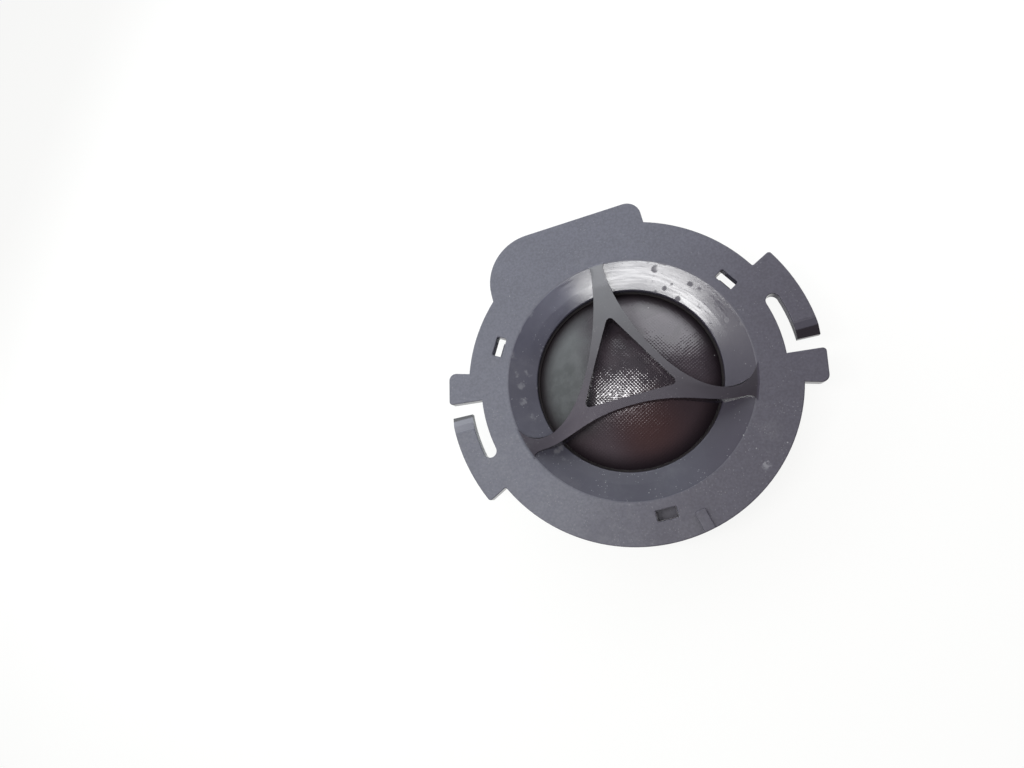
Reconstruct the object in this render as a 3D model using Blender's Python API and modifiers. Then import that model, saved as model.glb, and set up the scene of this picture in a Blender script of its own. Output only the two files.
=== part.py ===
"""Soft-dome car tweeter: bayonet front plate with a three-arm guard, motor, housing and connector socket.

Metres. +Z is the acoustic axis (front up), +Y points to the connector lobe, and the origin is the
centre of the flat rear face.
"""

import math

import bmesh
import bpy
from mathutils import Matrix, Vector

# Clearances
SEAT_GAP = 0.0002            # between faces that rest on or are glued to each other
SIDE_GAP = 0.0003            # beside pieces that slip into one another
RUNNING_GAP = 0.00035        # radial room on each side of the moving coil
STROKE = 0.0004              # coil travel each way, and the guard's room above the dome

# Moving assembly
FORMER_BORE_R = 0.0130
FORMER_WALL = 0.0002
FORMER_DEPTH = 0.0046
COIL_BUILD = 0.0005
COIL_HEIGHT = 0.0026
COIL_TAIL = 0.0002           # former left bare below the winding
DOME_OVERHANG = 0.00075      # dome rim outside the former
DOME_HEIGHT = 0.0046
DOME_WALL = 0.0003

# Motor
POLE_THICKNESS = 0.0020
MAGNET_THICKNESS = 0.0035
MAGNET_INSET = 0.0008        # magnet edge inside the pole plate's edge
YOKE_WALL = 0.0018
YOKE_FLOOR = 0.0018
PAD_THICKNESS = 0.0015
PAD_INSET = 0.0032           # damping pad edge inside the pole plate's edge

# Diaphragm seat
RING_HEIGHT = 0.0021
RING_OVERLAP = 0.0013        # how far the ring reaches in over the yoke rim
RING_OUTER_ROOM = 0.0008
SURROUND_WALL = 0.0004
SURROUND_ROLL = 0.00105      # free width of the half roll
SURROUND_ROLL_HEIGHT = 0.00045
SURROUND_CLAMP = 0.0014      # flat rim held under the plate

# Front plate
LIP_THICKNESS = 0.0009
FUNNEL_DEPTH = 0.0015
FUNNEL_WIDTH = 0.0049
CREASE_WIDTH = 0.0018        # inner, steeper band of the funnel
CREASE_DROP = 0.00086
FLANGE_THICKNESS = 0.0020
FLANGE_MARGIN = 0.00363      # rim of the flange outside the windows
LOBE_LEFT = 0.01870
LOBE_RIGHT = 0.0097
LOBE_REACH = 0.00250         # lobe edge beyond the flange circle
LOBE_LEFT_FILLET = 0.0085
LOBE_RIGHT_FILLET = 0.0025

# Bayonet tabs and spring fingers, one pair on each side; angles in degrees from +X
TAB_REACH = 0.00365
TAB_START_DEG = -17.5
TAB_END_DEG = -7.0
TAB_FILLET = 0.0012
TAB_EDGE_FILLET = 0.0006
SLOT_DEPTH = 0.0022          # slot inside the flange circle
SLOT_WIDTH = 0.0022
SLOT_END_DEG = 12.8
FINGER_WIDTH = 0.0035
FINGER_TIP_DEG = -2.7
FINGER_ROOT_DEG = 27.0
FINGER_FILLET = 0.0004
RAMP_LENGTH = 0.0014
RAMP_BREAK_DROP = 0.00025
RAMP_TIP_DROP = 0.0009

# Service windows, latches and the raised key
WINDOW_DEGS = (30.0, 150.0, 270.0)
WINDOW_LENGTH = 0.00332
WINDOW_WIDTH = 0.00169
WINDOW_INSET = 0.0001        # window edge outside the latch arm
LATCH_THICKNESS = 0.00085
LATCH_WIDTH = 0.0026
LATCH_BARB = 0.0008
LATCH_TOE = 0.0022           # latch below the top of its barb
LATCH_LIP = 0.00125
LATCH_LIP_GAP = 0.0015       # lip below the flange
KEY_DEG = -78.0
KEY_WIDTH = 0.00175
KEY_LENGTH = 0.0034
KEY_HEIGHT = 0.0007
KEY_INSET = 0.0001           # key's end inside the flange circle

# Guard: arms along +Y and to both sides, joined by a triangle around an open centre
GUARD_DEPTH = 0.0020
GUARD_FLATNESS = 3.0         # exponent of the crown; larger is flatter in the middle
GUARD_FOOT = 0.0002          # crown lands this far outside the funnel edge
TOP_ARM_HALF = 0.00095
ARM_FILLET = 0.0006
FOOT_INSET = 0.0047          # side arms narrowest this far inside the funnel edge
SIDE_ARM_UPPER = 0.00605     # the two edges of a side arm, below the X axis
SIDE_ARM_LOWER = 0.0077
FOOT_UPPER_DEG = -9.5        # where a side arm's edges meet the funnel edge
FOOT_LOWER_DEG = -26.0
BOTTOM_BAR_EDGE = 0.00485    # outer edge of the bar between the side arms
TOP_HANDLE = 0.0101          # curve handles of the guard's long edges
SIDE_HANDLE = 0.0081
BAR_HANDLE = 0.0080
ARM_HANDLE = 0.0045
FLARE_HANDLE = 0.0018
HOLE_TOP = 0.00976           # sharp corners of the central hole before rounding
HOLE_BOTTOM = 0.0035
HOLE_HALF = 0.00724
HOLE_FILLET = 0.0006

# Rear housing
HOUSING_FLOOR = 0.0015
HOUSING_WALL = 0.0012
HOUSING_CHAMFER = 0.0010
LEDGE_WIDTH = 0.00075
LEDGE_HEIGHT = 0.0021
BOX_MARGIN = 0.00135         # connector box edge inside the lobe edge
BOX_UNDERSIDE_Z = 0.0026
BOX_START_Y = 0.0150
BOX_FILLET = 0.0012

# Connector socket and terminals
SOCKET_WIDTH = 0.0086
SOCKET_HEIGHT = 0.0055
SOCKET_DEPTH = 0.0077
PIN_PITCH = 0.0026
PIN_WIDTH = 0.0008
PIN_HEIGHT = 0.0006
PIN_REACH = 0.0036
PIN_CLEARANCE = 0.0002
TAG_THICKNESS = 0.0005
TAG_STANDOFF = 0.0008        # tag outside the yoke
LOCK_WINDOW = 0.0030

# Capacitor and leads
CAP_LEAD_ROOM = 0.0032       # beside the capacitor's bung, for its leads
CAP_R = 0.0023
CAP_SLEEVE_WALL = 0.0002
BUNG_LENGTH = 0.0008
BUNG_INSET = 0.0002
CAP_LEAD_SPREAD = 0.0007     # half the distance between the two leads
CAP_LEAD_R = 0.00025
COIL_LEAD_R = 0.0002
LEAD_SLOT_WIDTH = 0.0019

# Roundness of turned pieces
OUTER_STEPS = 72
INNER_STEPS = 48

# Stack from the rear face up to the front face
YOKE_Z = HOUSING_FLOOR + SEAT_GAP
MAGNET_Z = YOKE_Z + YOKE_FLOOR + SEAT_GAP
POLE_Z = MAGNET_Z + MAGNET_THICKNESS + SEAT_GAP
POLE_TOP_Z = POLE_Z + POLE_THICKNESS
RING_Z = POLE_TOP_Z + SEAT_GAP
SURROUND_Z = RING_Z + RING_HEIGHT + SEAT_GAP
LIP_Z = SURROUND_Z + SURROUND_WALL + SEAT_GAP
OPENING_Z = LIP_Z + LIP_THICKNESS
FRONT_Z = OPENING_Z + FUNNEL_DEPTH
FLANGE_Z = FRONT_Z - FLANGE_THICKNESS
RIM_Z = FLANGE_Z - SEAT_GAP
LEDGE_Z = RIM_Z - LEDGE_HEIGHT
APEX_Z = SURROUND_Z + DOME_HEIGHT
GUARD_Z = APEX_Z + STROKE
GUARD_RISE = GUARD_Z + GUARD_DEPTH - FRONT_Z

# Connector box across, from the lobe above it
BOX_LEFT = LOBE_LEFT - BOX_MARGIN
BOX_RIGHT = LOBE_RIGHT - BOX_MARGIN
BOX_LEFT_FILLET = LOBE_LEFT_FILLET - BOX_MARGIN
SOCKET_X = BOX_RIGHT - HOUSING_WALL - SOCKET_WIDTH / 2.0
SOCKET_LEFT = SOCKET_X - SOCKET_WIDTH / 2.0
BAY_LEFT = BOX_LEFT - HOUSING_WALL
BAY_RIGHT = SOCKET_LEFT - HOUSING_WALL
BAY_FILLET = BOX_LEFT_FILLET - HOUSING_WALL

# Radii from the coil outwards
FORMER_R = FORMER_BORE_R + FORMER_WALL
COIL_BORE_R = FORMER_R + SEAT_GAP / 4.0
COIL_R = COIL_BORE_R + COIL_BUILD
DOME_R = FORMER_R + DOME_OVERHANG
POLE_R = FORMER_BORE_R - RUNNING_GAP
MAGNET_R = POLE_R - MAGNET_INSET
YOKE_BORE_R = COIL_R + RUNNING_GAP
YOKE_R = YOKE_BORE_R + YOKE_WALL
TAG_Y = YOKE_R + TAG_STANDOFF
LEAD_DROP_Y = TAG_Y + TAG_THICKNESS + SEAT_GAP / 2.0 + COIL_LEAD_R
HOUSING_BORE_R = math.hypot(SOCKET_X + PIN_PITCH / 2.0, LEAD_DROP_Y + COIL_LEAD_R) + SIDE_GAP
HOUSING_R = HOUSING_BORE_R + HOUSING_WALL
LEDGE_R = HOUSING_R + LEDGE_WIDTH
LATCH_R = LEDGE_R + SIDE_GAP
WINDOW_R = LATCH_R + LATCH_THICKNESS + WINDOW_INSET
FLANGE_R = WINDOW_R + WINDOW_WIDTH + FLANGE_MARGIN
ROLL_R = DOME_R + SIDE_GAP
OPENING_R = ROLL_R + SURROUND_ROLL
FUNNEL_R = OPENING_R + FUNNEL_WIDTH
SLOT_R = FLANGE_R - SLOT_DEPTH
FINGER_R = SLOT_R + SLOT_WIDTH
LOBE_Y = FLANGE_R + LOBE_REACH

# Connector box along and up
BOX_Y = LOBE_Y - BOX_MARGIN
BAY_Y = BOX_Y - HOUSING_WALL
BOX_FLOOR_Z = BOX_UNDERSIDE_Z + HOUSING_WALL
SOCKET_Z = BOX_FLOOR_Z + SOCKET_HEIGHT / 2.0
SOCKET_BACK_Y = BOX_Y - SOCKET_DEPTH
PIN_TOP_Z = SOCKET_Z + PIN_HEIGHT / 2.0
TAG_TOP_Z = RING_Z - SIDE_GAP
LEAD_SLOT_X = BAY_RIGHT - LEAD_SLOT_WIDTH / 2.0 - SIDE_GAP

# The capacitor lies against the round wall and ends short of the bay's rounded corner
CAP_OUTER_R = CAP_R + SEAT_GAP / 2.0 + CAP_SLEEVE_WALL
CAP_RIGHT_X = BAY_RIGHT - CAP_LEAD_ROOM
CAP_Y = math.sqrt((HOUSING_R + SEAT_GAP) ** 2 - CAP_RIGHT_X ** 2) + SEAT_GAP + CAP_OUTER_R
CAP_Z = BOX_FLOOR_Z + SEAT_GAP + CAP_OUTER_R
CORNER_RISE = max(0.0, CAP_Y + CAP_OUTER_R - (BAY_Y - BAY_FILLET))
CAP_LEFT_X = BAY_FILLET - BAY_LEFT - math.sqrt(BAY_FILLET ** 2 - CORNER_RISE ** 2) + SIDE_GAP
CAP_LENGTH = CAP_RIGHT_X - CAP_LEFT_X


for old in list(bpy.data.objects):
    bpy.data.objects.remove(old, do_unlink=True)

PARTS = bpy.data.collections.new("car_tweeter")
CUTTERS = bpy.data.collections.new("cutters")
bpy.context.scene.collection.children.link(PARTS)
bpy.context.scene.collection.children.link(CUTTERS)


def material(name, colour, roughness, metallic=0.0):
    """A plain Principled material."""
    mat = bpy.data.materials.new(name)
    mat.use_nodes = True
    shader = mat.node_tree.nodes["Principled BSDF"]
    shader.inputs["Base Color"].default_value = (*colour, 1.0)
    shader.inputs["Roughness"].default_value = roughness
    shader.inputs["Metallic"].default_value = metallic
    return mat


def place(mesh, name, collection):
    """Put a mesh into the scene as a named object."""
    obj = bpy.data.objects.new(name, mesh)
    collection.objects.link(obj)
    if collection is CUTTERS:
        obj.hide_render = True
        obj.display_type = "WIRE"
    return obj


def turned(name, profile, steps, collection, ring=False):
    """A body of revolution from (radius, height) points that run down its outer side."""
    mesh = bpy.data.meshes.new(name)
    edges = [(i, i + 1) for i in range(len(profile) - 1)]
    if ring:
        edges.append((len(profile) - 1, 0))
    mesh.from_pydata([(r, 0.0, z) for r, z in profile], edges, [])
    obj = place(mesh, name, collection)
    screw = obj.modifiers.new("turn", "SCREW")
    screw.steps = steps
    screw.render_steps = steps
    screw.use_merge_vertices = True
    screw.merge_threshold = 0.00001
    return obj


def flat(name, points, low, high, collection):
    """A flat outline of (x, y) points raised from height low to height high."""
    curve = bpy.data.curves.new(name, "CURVE")
    curve.dimensions = "2D"
    curve.fill_mode = "BOTH"
    curve.extrude = (high - low) / 2.0
    spline = curve.splines.new("POLY")
    spline.points.add(len(points) - 1)
    for point, (x, y) in zip(spline.points, points):
        point.co = (x, y, 0.0, 1.0)
    spline.use_cyclic_u = True
    return solid_from_curve(name, curve, Matrix.Translation((0.0, 0.0, (low + high) / 2.0)), collection)


def wire(name, points, radius, collection):
    """A round wire through the given points."""
    curve = bpy.data.curves.new(name, "CURVE")
    curve.dimensions = "3D"
    curve.bevel_depth = radius
    curve.bevel_resolution = 2
    curve.use_fill_caps = True
    spline = curve.splines.new("POLY")
    spline.points.add(len(points) - 1)
    for point, place_at in zip(spline.points, points):
        point.co = (*place_at, 1.0)
    return solid_from_curve(name, curve, Matrix.Identity(4), collection)


def solid_from_curve(name, curve, matrix, collection):
    """Turn a filled curve into one welded mesh object."""
    guide = bpy.data.objects.new(name + "_guide", curve)
    bpy.context.scene.collection.objects.link(guide)
    guide.matrix_world = matrix
    bpy.context.view_layer.update()
    evaluated = guide.evaluated_get(bpy.context.evaluated_depsgraph_get())
    mesh = bpy.data.meshes.new_from_object(evaluated)
    mesh.transform(matrix)
    weld(mesh)
    bpy.data.objects.remove(guide, do_unlink=True)
    return place(mesh, name, collection)


def weld(mesh):
    """Close a mesh's seams and point its faces out."""
    work = bmesh.new()
    work.from_mesh(mesh)
    bmesh.ops.remove_doubles(work, verts=work.verts, dist=0.000001)
    bmesh.ops.recalc_face_normals(work, faces=work.faces)
    work.to_mesh(mesh)
    work.free()


def block(name, low, high, collection, turn_deg=0.0):
    """A box between two corners, turned about the Z axis."""
    low, high = Vector(low), Vector(high)
    mesh = bpy.data.meshes.new(name)
    work = bmesh.new()
    bmesh.ops.create_cube(work, size=1.0)
    bmesh.ops.scale(work, vec=high - low, verts=work.verts)
    bmesh.ops.translate(work, vec=(low + high) / 2.0, verts=work.verts)
    work.to_mesh(mesh)
    work.free()
    mesh.transform(Matrix.Rotation(math.radians(turn_deg), 4, "Z"))
    return place(mesh, name, collection)


def slab(name, outline, half_width, turn_deg, collection):
    """An outline of (radius, height) points in the XZ plane, thickened across, then turned about Z."""
    obj = flat(name, outline, -half_width, half_width, collection)
    obj.data.transform(Matrix.Rotation(math.radians(90.0), 4, "X"))
    obj.data.transform(Matrix.Rotation(math.radians(turn_deg), 4, "Z"))
    return obj


def combine(obj, other, operation):
    """Boolean another object into this one."""
    modifier = obj.modifiers.new(other.name, "BOOLEAN")
    modifier.operation = operation
    modifier.object = other
    modifier.solver = "EXACT"


def cut(obj, *others):
    for other in others:
        combine(obj, other, "DIFFERENCE")


def join(obj, *others):
    for other in others:
        combine(obj, other, "UNION")


def finish(obj, mat, smooth_deg=35.0):
    """Apply the modifiers, weld, shade and colour a part."""
    bpy.context.view_layer.update()
    evaluated = obj.evaluated_get(bpy.context.evaluated_depsgraph_get())
    mesh = bpy.data.meshes.new_from_object(evaluated)
    obj.modifiers.clear()
    obj.data = mesh
    mesh.name = obj.name
    weld(mesh)
    mesh.shade_smooth()
    mesh.set_sharp_from_angle(angle=math.radians(smooth_deg))
    mesh.materials.clear()
    mesh.materials.append(mat)
    return obj


def polar(radius, degrees):
    angle = math.radians(degrees)
    return (radius * math.cos(angle), radius * math.sin(angle))


def arc(radius, start_deg, end_deg, step_deg=5.0, centre=(0.0, 0.0)):
    """Points along a circular arc."""
    count = max(2, round(abs(end_deg - start_deg) / step_deg))
    spots = [polar(radius, start_deg + (end_deg - start_deg) * i / count) for i in range(count + 1)]
    return [(centre[0] + x, centre[1] + y) for x, y in spots]


def bezier(start, start_handle, end_handle, end, count):
    """Points along a cubic curve, both ends included."""
    points = []
    for i in range(count + 1):
        t = i / count
        weights = ((1 - t) ** 3, 3 * t * (1 - t) ** 2, 3 * t * t * (1 - t), t ** 3)
        corners = (start, start_handle, end_handle, end)
        points.append(tuple(sum(w * c[k] for w, c in zip(weights, corners)) for k in range(2)))
    return points


def round_corner(before, corner, after, radius, count=4):
    """The points that replace a sharp corner by an arc of the given radius."""
    corner = Vector(corner)
    to_before = (Vector(before) - corner).normalized()
    to_after = (Vector(after) - corner).normalized()
    half = to_before.angle(to_after) / 2.0
    reach = radius / math.tan(half)
    centre = corner + (to_before + to_after).normalized() * (radius / math.sin(half))
    first = corner + to_before * reach - centre
    last = corner + to_after * reach - centre
    sweep = first.angle_signed(last)
    points = []
    for i in range(count + 1):
        spin = Matrix.Rotation(-sweep * i / count, 2)
        points.append(tuple(centre + spin @ first))
    return points


def bayonet_outline(turn_deg):
    """Outline of one tab, its slot and its spring finger, anticlockwise."""
    def at(radius, degrees):
        return polar(radius, degrees + turn_deg)

    tab_r = FLANGE_R + TAB_REACH
    finger_out = FINGER_R + FINGER_WIDTH
    slot_mid = (SLOT_R + FINGER_R) / 2.0
    tab_foot = at(FLANGE_R, TAB_START_DEG)
    tab_back = at(tab_r, TAB_START_DEG)
    tab_front = at(tab_r, TAB_END_DEG)
    slot_corner = at(SLOT_R, TAB_END_DEG)
    points = [tab_foot]
    points += round_corner(tab_foot, tab_back, tab_front, TAB_FILLET)
    points += round_corner(tab_back, tab_front, slot_corner, TAB_EDGE_FILLET)
    points += arc(SLOT_R, TAB_END_DEG + turn_deg, SLOT_END_DEG + turn_deg)
    points += arc(SLOT_WIDTH / 2.0, SLOT_END_DEG + turn_deg + 180.0, SLOT_END_DEG + turn_deg, 30.0,
                  at(slot_mid, SLOT_END_DEG))[1:-1]
    points += arc(FINGER_R, SLOT_END_DEG + turn_deg, FINGER_TIP_DEG + turn_deg)
    points += arc(finger_out, FINGER_TIP_DEG + turn_deg, FINGER_ROOT_DEG - 1.0 + turn_deg)
    points += round_corner(at(finger_out, FINGER_ROOT_DEG - 1.0), at(finger_out, FINGER_ROOT_DEG),
                           at(FLANGE_R, FINGER_ROOT_DEG), FINGER_FILLET, 2)
    return points


def lobe_outline(left, right, top, left_fillet, right_fillet):
    """Upper edge of the lobe or of the box below it, from right to left."""
    points = arc(right_fillet, 0.0, 90.0, 22.5, (right - right_fillet, top - right_fillet))
    points += arc(left_fillet, 90.0, 180.0, 11.25, (-left + left_fillet, top - left_fillet))
    return points


def plate_outline():
    """Outer edge of the front plate, anticlockwise from the right-hand tab."""
    lobe_from = math.degrees(math.acos(LOBE_RIGHT / FLANGE_R))
    lobe_to = math.degrees(math.acos(-LOBE_LEFT / FLANGE_R))
    points = bayonet_outline(0.0)
    points += arc(FLANGE_R, FINGER_ROOT_DEG, lobe_from)
    points += lobe_outline(LOBE_LEFT, LOBE_RIGHT, LOBE_Y, LOBE_LEFT_FILLET, LOBE_RIGHT_FILLET)
    points += arc(FLANGE_R, lobe_to, TAB_START_DEG + 180.0)[:-1]
    points += bayonet_outline(180.0)
    points += arc(FLANGE_R, FINGER_ROOT_DEG + 180.0, TAB_START_DEG + 360.0)[:-1]
    return points


def mirrored(points):
    return [(-x, y) for x, y in reversed(points)]


def side_gap_outline():
    """The opening to the right of the guard's upper arm, anticlockwise."""
    outside_r = FUNNEL_R + 2.0 * GUARD_FOOT
    arm_top = (TOP_ARM_HALF, FUNNEL_R - ARM_FILLET)
    arm_side = (FUNNEL_R - FOOT_INSET, -SIDE_ARM_UPPER)
    foot = polar(FUNNEL_R, FOOT_UPPER_DEG)
    foot_handle = polar(FUNNEL_R - FLARE_HANDLE / 2.0, FOOT_UPPER_DEG - 5.0)
    corner_deg = math.degrees(math.acos((TOP_ARM_HALF + ARM_FILLET) / outside_r))
    points = bezier(arm_top, (arm_top[0], arm_top[1] - TOP_HANDLE),
                    (arm_side[0] - SIDE_HANDLE, arm_side[1]), arm_side, 14)
    points += bezier(arm_side, (arm_side[0] + FLARE_HANDLE, arm_side[1]), foot_handle, foot, 6)[1:]
    points += arc(outside_r, FOOT_UPPER_DEG + 1.0, corner_deg)
    return points


def bottom_gap_outline():
    """The opening between the guard's two side arms, anticlockwise."""
    outside_r = FUNNEL_R + 2.0 * GUARD_FOOT
    bar = (0.0, -BOTTOM_BAR_EDGE)
    arm_side = (FUNNEL_R - FOOT_INSET, -SIDE_ARM_LOWER)
    foot = polar(FUNNEL_R, FOOT_LOWER_DEG)
    right = bezier(bar, (BAR_HANDLE, bar[1]), (arm_side[0] - ARM_HANDLE, arm_side[1]), arm_side, 8)
    right += bezier(arm_side, (arm_side[0] + FLARE_HANDLE, arm_side[1]),
                    (foot[0], arm_side[1]), foot, 5)[1:]
    edge = arc(outside_r, FOOT_LOWER_DEG - 1.0, -180.0 - FOOT_LOWER_DEG + 1.0)
    return right + edge + mirrored(right)[:-1]


def hole_outline():
    """The guard's central triangle with rounded corners."""
    corners = [(0.0, HOLE_TOP), (-HOLE_HALF, -HOLE_BOTTOM), (HOLE_HALF, -HOLE_BOTTOM)]
    points = []
    for i in range(3):
        points += round_corner(corners[i - 1], corners[i], corners[(i + 1) % 3], HOLE_FILLET)
    return points


def crown_height(radius):
    """Height of the guard's upper face above the front face."""
    return GUARD_RISE * (1.0 - (radius / (FUNNEL_R + GUARD_FOOT)) ** GUARD_FLATNESS)


def make_guard():
    """The crowned three-arm guard, before it is joined to the plate."""
    rim_r = FUNNEL_R + 3.0 * GUARD_FOOT
    rings = 9
    crown = [(rim_r * i / rings, FRONT_Z + crown_height(rim_r * i / rings)) for i in range(rings + 1)]
    seat_z = (LIP_Z + OPENING_Z) / 2.0
    under = [(rim_r, FRONT_Z - FUNNEL_DEPTH / 2.0), (OPENING_R + CREASE_WIDTH, OPENING_Z - CREASE_DROP / 2.0),
             (OPENING_R + SIDE_GAP, seat_z), (OPENING_R - SIDE_GAP, seat_z),
             (HOLE_HALF, GUARD_Z), (0.0, GUARD_Z)]
    guard = turned("guard", crown + under, OUTER_STEPS, CUTTERS)
    top = FRONT_Z + GUARD_RISE + GUARD_DEPTH
    right_gap = side_gap_outline()
    cut(guard,
        flat("gap_right", right_gap, 0.0, top, CUTTERS),
        flat("gap_left", mirrored(right_gap), 0.0, top, CUTTERS),
        flat("gap_bottom", bottom_gap_outline(), 0.0, top, CUTTERS),
        flat("hole", hole_outline(), 0.0, top, CUTTERS))
    return guard


def latch_outline():
    """A latch arm in section: barb inwards under the housing ledge, release lip outwards."""
    barb_z = LEDGE_Z - SIDE_GAP
    toe_z = barb_z - LATCH_TOE
    outer_r = LATCH_R + LATCH_THICKNESS
    return [(outer_r, FLANGE_Z + FLANGE_THICKNESS / 4.0), (LATCH_R, FLANGE_Z + FLANGE_THICKNESS / 4.0),
            (LATCH_R, barb_z), (LATCH_R - LATCH_BARB, barb_z), (LATCH_R, toe_z),
            (outer_r + LATCH_LIP, toe_z), (outer_r + LATCH_LIP, FLANGE_Z - LATCH_LIP_GAP),
            (outer_r, FLANGE_Z - LATCH_LIP_GAP)]


def ramp_outline():
    """What is cut off above a finger tip, as (along the finger, height) from the tip's edge."""
    tip = polar(FINGER_R, FINGER_TIP_DEG)[1]
    past = tip - SIDE_GAP
    clear_z = FRONT_Z + FLANGE_THICKNESS
    return [(past, clear_z), (past, FRONT_Z - RAMP_TIP_DROP), (tip + RAMP_LENGTH, FRONT_Z - RAMP_BREAK_DROP),
            (tip + 2.0 * RAMP_LENGTH, FRONT_Z), (tip + 2.0 * RAMP_LENGTH, clear_z)]


def make_front_plate(mat):
    plate = flat("front_plate", plate_outline(), FLANGE_Z, FRONT_Z, PARTS)
    boss_r = HOUSING_BORE_R - SIDE_GAP
    join(plate, turned("boss", [(0.0, OPENING_Z), (boss_r, OPENING_Z), (boss_r, LIP_Z), (0.0, LIP_Z)],
                       OUTER_STEPS, CUTTERS))
    over = FRONT_Z + FUNNEL_DEPTH
    cut(plate, turned("funnel", [(0.0, over), (FUNNEL_R, over), (FUNNEL_R, FRONT_Z),
                                 (OPENING_R + CREASE_WIDTH, FRONT_Z - CREASE_DROP), (OPENING_R, OPENING_Z),
                                 (OPENING_R, LIP_Z - FUNNEL_DEPTH), (0.0, LIP_Z - FUNNEL_DEPTH)],
                      OUTER_STEPS, CUTTERS))
    for degrees in WINDOW_DEGS:
        label = str(round(degrees))
        cut(plate, block("window_" + label, (WINDOW_R, -WINDOW_LENGTH / 2.0, FLANGE_Z - FLANGE_THICKNESS),
                         (WINDOW_R + WINDOW_WIDTH, WINDOW_LENGTH / 2.0, FRONT_Z + FLANGE_THICKNESS),
                         CUTTERS, degrees))
    join(plate, block("key", (FLANGE_R - KEY_LENGTH, -KEY_WIDTH / 2.0, FRONT_Z - FLANGE_THICKNESS / 4.0),
                      (FLANGE_R - KEY_INSET, KEY_WIDTH / 2.0, FRONT_Z + KEY_HEIGHT), CUTTERS, KEY_DEG))
    reach = FINGER_R + FINGER_WIDTH + SLOT_WIDTH
    for degrees in (0.0, 180.0):
        half_width = (reach - FINGER_R + SLOT_WIDTH / 2.0) / 2.0
        ramp = slab("ramp_" + str(round(degrees)), ramp_outline(), half_width, 90.0, CUTTERS)
        ramp.data.transform(Matrix.Translation(((reach + FINGER_R - SLOT_WIDTH / 2.0) / 2.0, 0.0, 0.0)))
        ramp.data.transform(Matrix.Rotation(math.radians(degrees), 4, "Z"))
        cut(plate, ramp)
    join(plate, make_guard())
    for degrees in WINDOW_DEGS:
        name = "latch_" + str(round(degrees))
        join(plate, slab(name, latch_outline(), LATCH_WIDTH / 2.0, degrees, CUTTERS))
    return finish(plate, mat)


def bay_outline():
    """Hollow for the capacitor, between the housing wall and the lobe's left end."""
    wall_r = HOUSING_R + SEAT_GAP
    low_y = BOX_START_Y + HOUSING_WALL
    points = [(BAY_RIGHT, BAY_Y)]
    points += arc(BAY_FILLET, 90.0, 180.0, 11.25, (BAY_FILLET - BAY_LEFT, BAY_Y - BAY_FILLET))
    points += [(-BAY_LEFT, low_y)]
    points += arc(wall_r, 180.0 - math.degrees(math.asin(low_y / wall_r)),
                  math.degrees(math.acos(BAY_RIGHT / wall_r)))
    return points


def box_outline():
    """Outer shape of the connector box, reaching into the round housing."""
    points = lobe_outline(BOX_LEFT, BOX_RIGHT, BOX_Y, BOX_LEFT_FILLET, BOX_FILLET)
    points += [(-BOX_LEFT, BOX_START_Y), (BOX_RIGHT, BOX_START_Y)]
    return points


def pin_xs():
    return {"positive": SOCKET_X - PIN_PITCH / 2.0, "negative": SOCKET_X + PIN_PITCH / 2.0}


def make_rear_housing(mat):
    foot_r = HOUSING_R - HOUSING_CHAMFER
    profile = [(0.0, RIM_Z), (LEDGE_R, RIM_Z), (LEDGE_R, LEDGE_Z), (HOUSING_R, LEDGE_Z),
               (HOUSING_R, HOUSING_CHAMFER), (foot_r, 0.0), (0.0, 0.0)]
    housing = turned("rear_housing", profile, OUTER_STEPS, PARTS)
    over = RIM_Z + FLANGE_THICKNESS
    join(housing, flat("box", box_outline(), BOX_UNDERSIDE_Z, RIM_Z, CUTTERS))
    cut(housing, turned("bore", [(0.0, over), (HOUSING_BORE_R, over), (HOUSING_BORE_R, HOUSING_FLOOR),
                                 (0.0, HOUSING_FLOOR)], OUTER_STEPS, CUTTERS))
    cut(housing, flat("bay", bay_outline(), BOX_FLOOR_Z, over, CUTTERS))
    socket_right = SOCKET_LEFT + SOCKET_WIDTH
    cut(housing, block("socket", (SOCKET_LEFT, SOCKET_BACK_Y, BOX_FLOOR_Z),
                       (socket_right, BOX_Y + SOCKET_DEPTH, BOX_FLOOR_Z + SOCKET_HEIGHT), CUTTERS))
    lock_y = BOX_Y - LOCK_WINDOW
    cut(housing, block("lock", (SOCKET_X - LOCK_WINDOW / 2.0, lock_y - LOCK_WINDOW / 2.0, 0.0),
                       (SOCKET_X + LOCK_WINDOW / 2.0, lock_y, SOCKET_Z), CUTTERS))
    cut(housing, block("lead_slot", (LEAD_SLOT_X - LEAD_SLOT_WIDTH / 2.0, TAG_Y, SOCKET_Z),
                       (LEAD_SLOT_X + LEAD_SLOT_WIDTH / 2.0, HOUSING_R + 2.0 * SEAT_GAP, over), CUTTERS))
    for label, x in pin_xs().items():
        half = (PIN_WIDTH / 2.0 + PIN_CLEARANCE, PIN_HEIGHT / 2.0 + PIN_CLEARANCE)
        cut(housing, block("pin_hole_" + label, (x - half[0], TAG_Y, SOCKET_Z - half[1]),
                           (x + half[0], SOCKET_BACK_Y + SOCKET_DEPTH / 2.0, SOCKET_Z + half[1]), CUTTERS))
    return finish(housing, mat)


def cap_surface(height, radius, base_z, count, top_first):
    """Points of a spherical cap from its apex to its rim."""
    ball = (radius ** 2 + height ** 2) / (2.0 * height)
    reach = math.asin(radius / ball)
    spots = [(ball * math.sin(reach * i / count), base_z + height - ball + ball * math.cos(reach * i / count))
             for i in range(count + 1)]
    return spots if top_first else spots[::-1]


def dome_inside_z(radius):
    """Height of the dome's inner surface at a radius."""
    height, rim_r = DOME_HEIGHT - DOME_WALL, DOME_R - DOME_WALL
    ball = (rim_r ** 2 + height ** 2) / (2.0 * height)
    return SURROUND_Z + height - ball + math.sqrt(ball ** 2 - radius ** 2)


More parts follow.
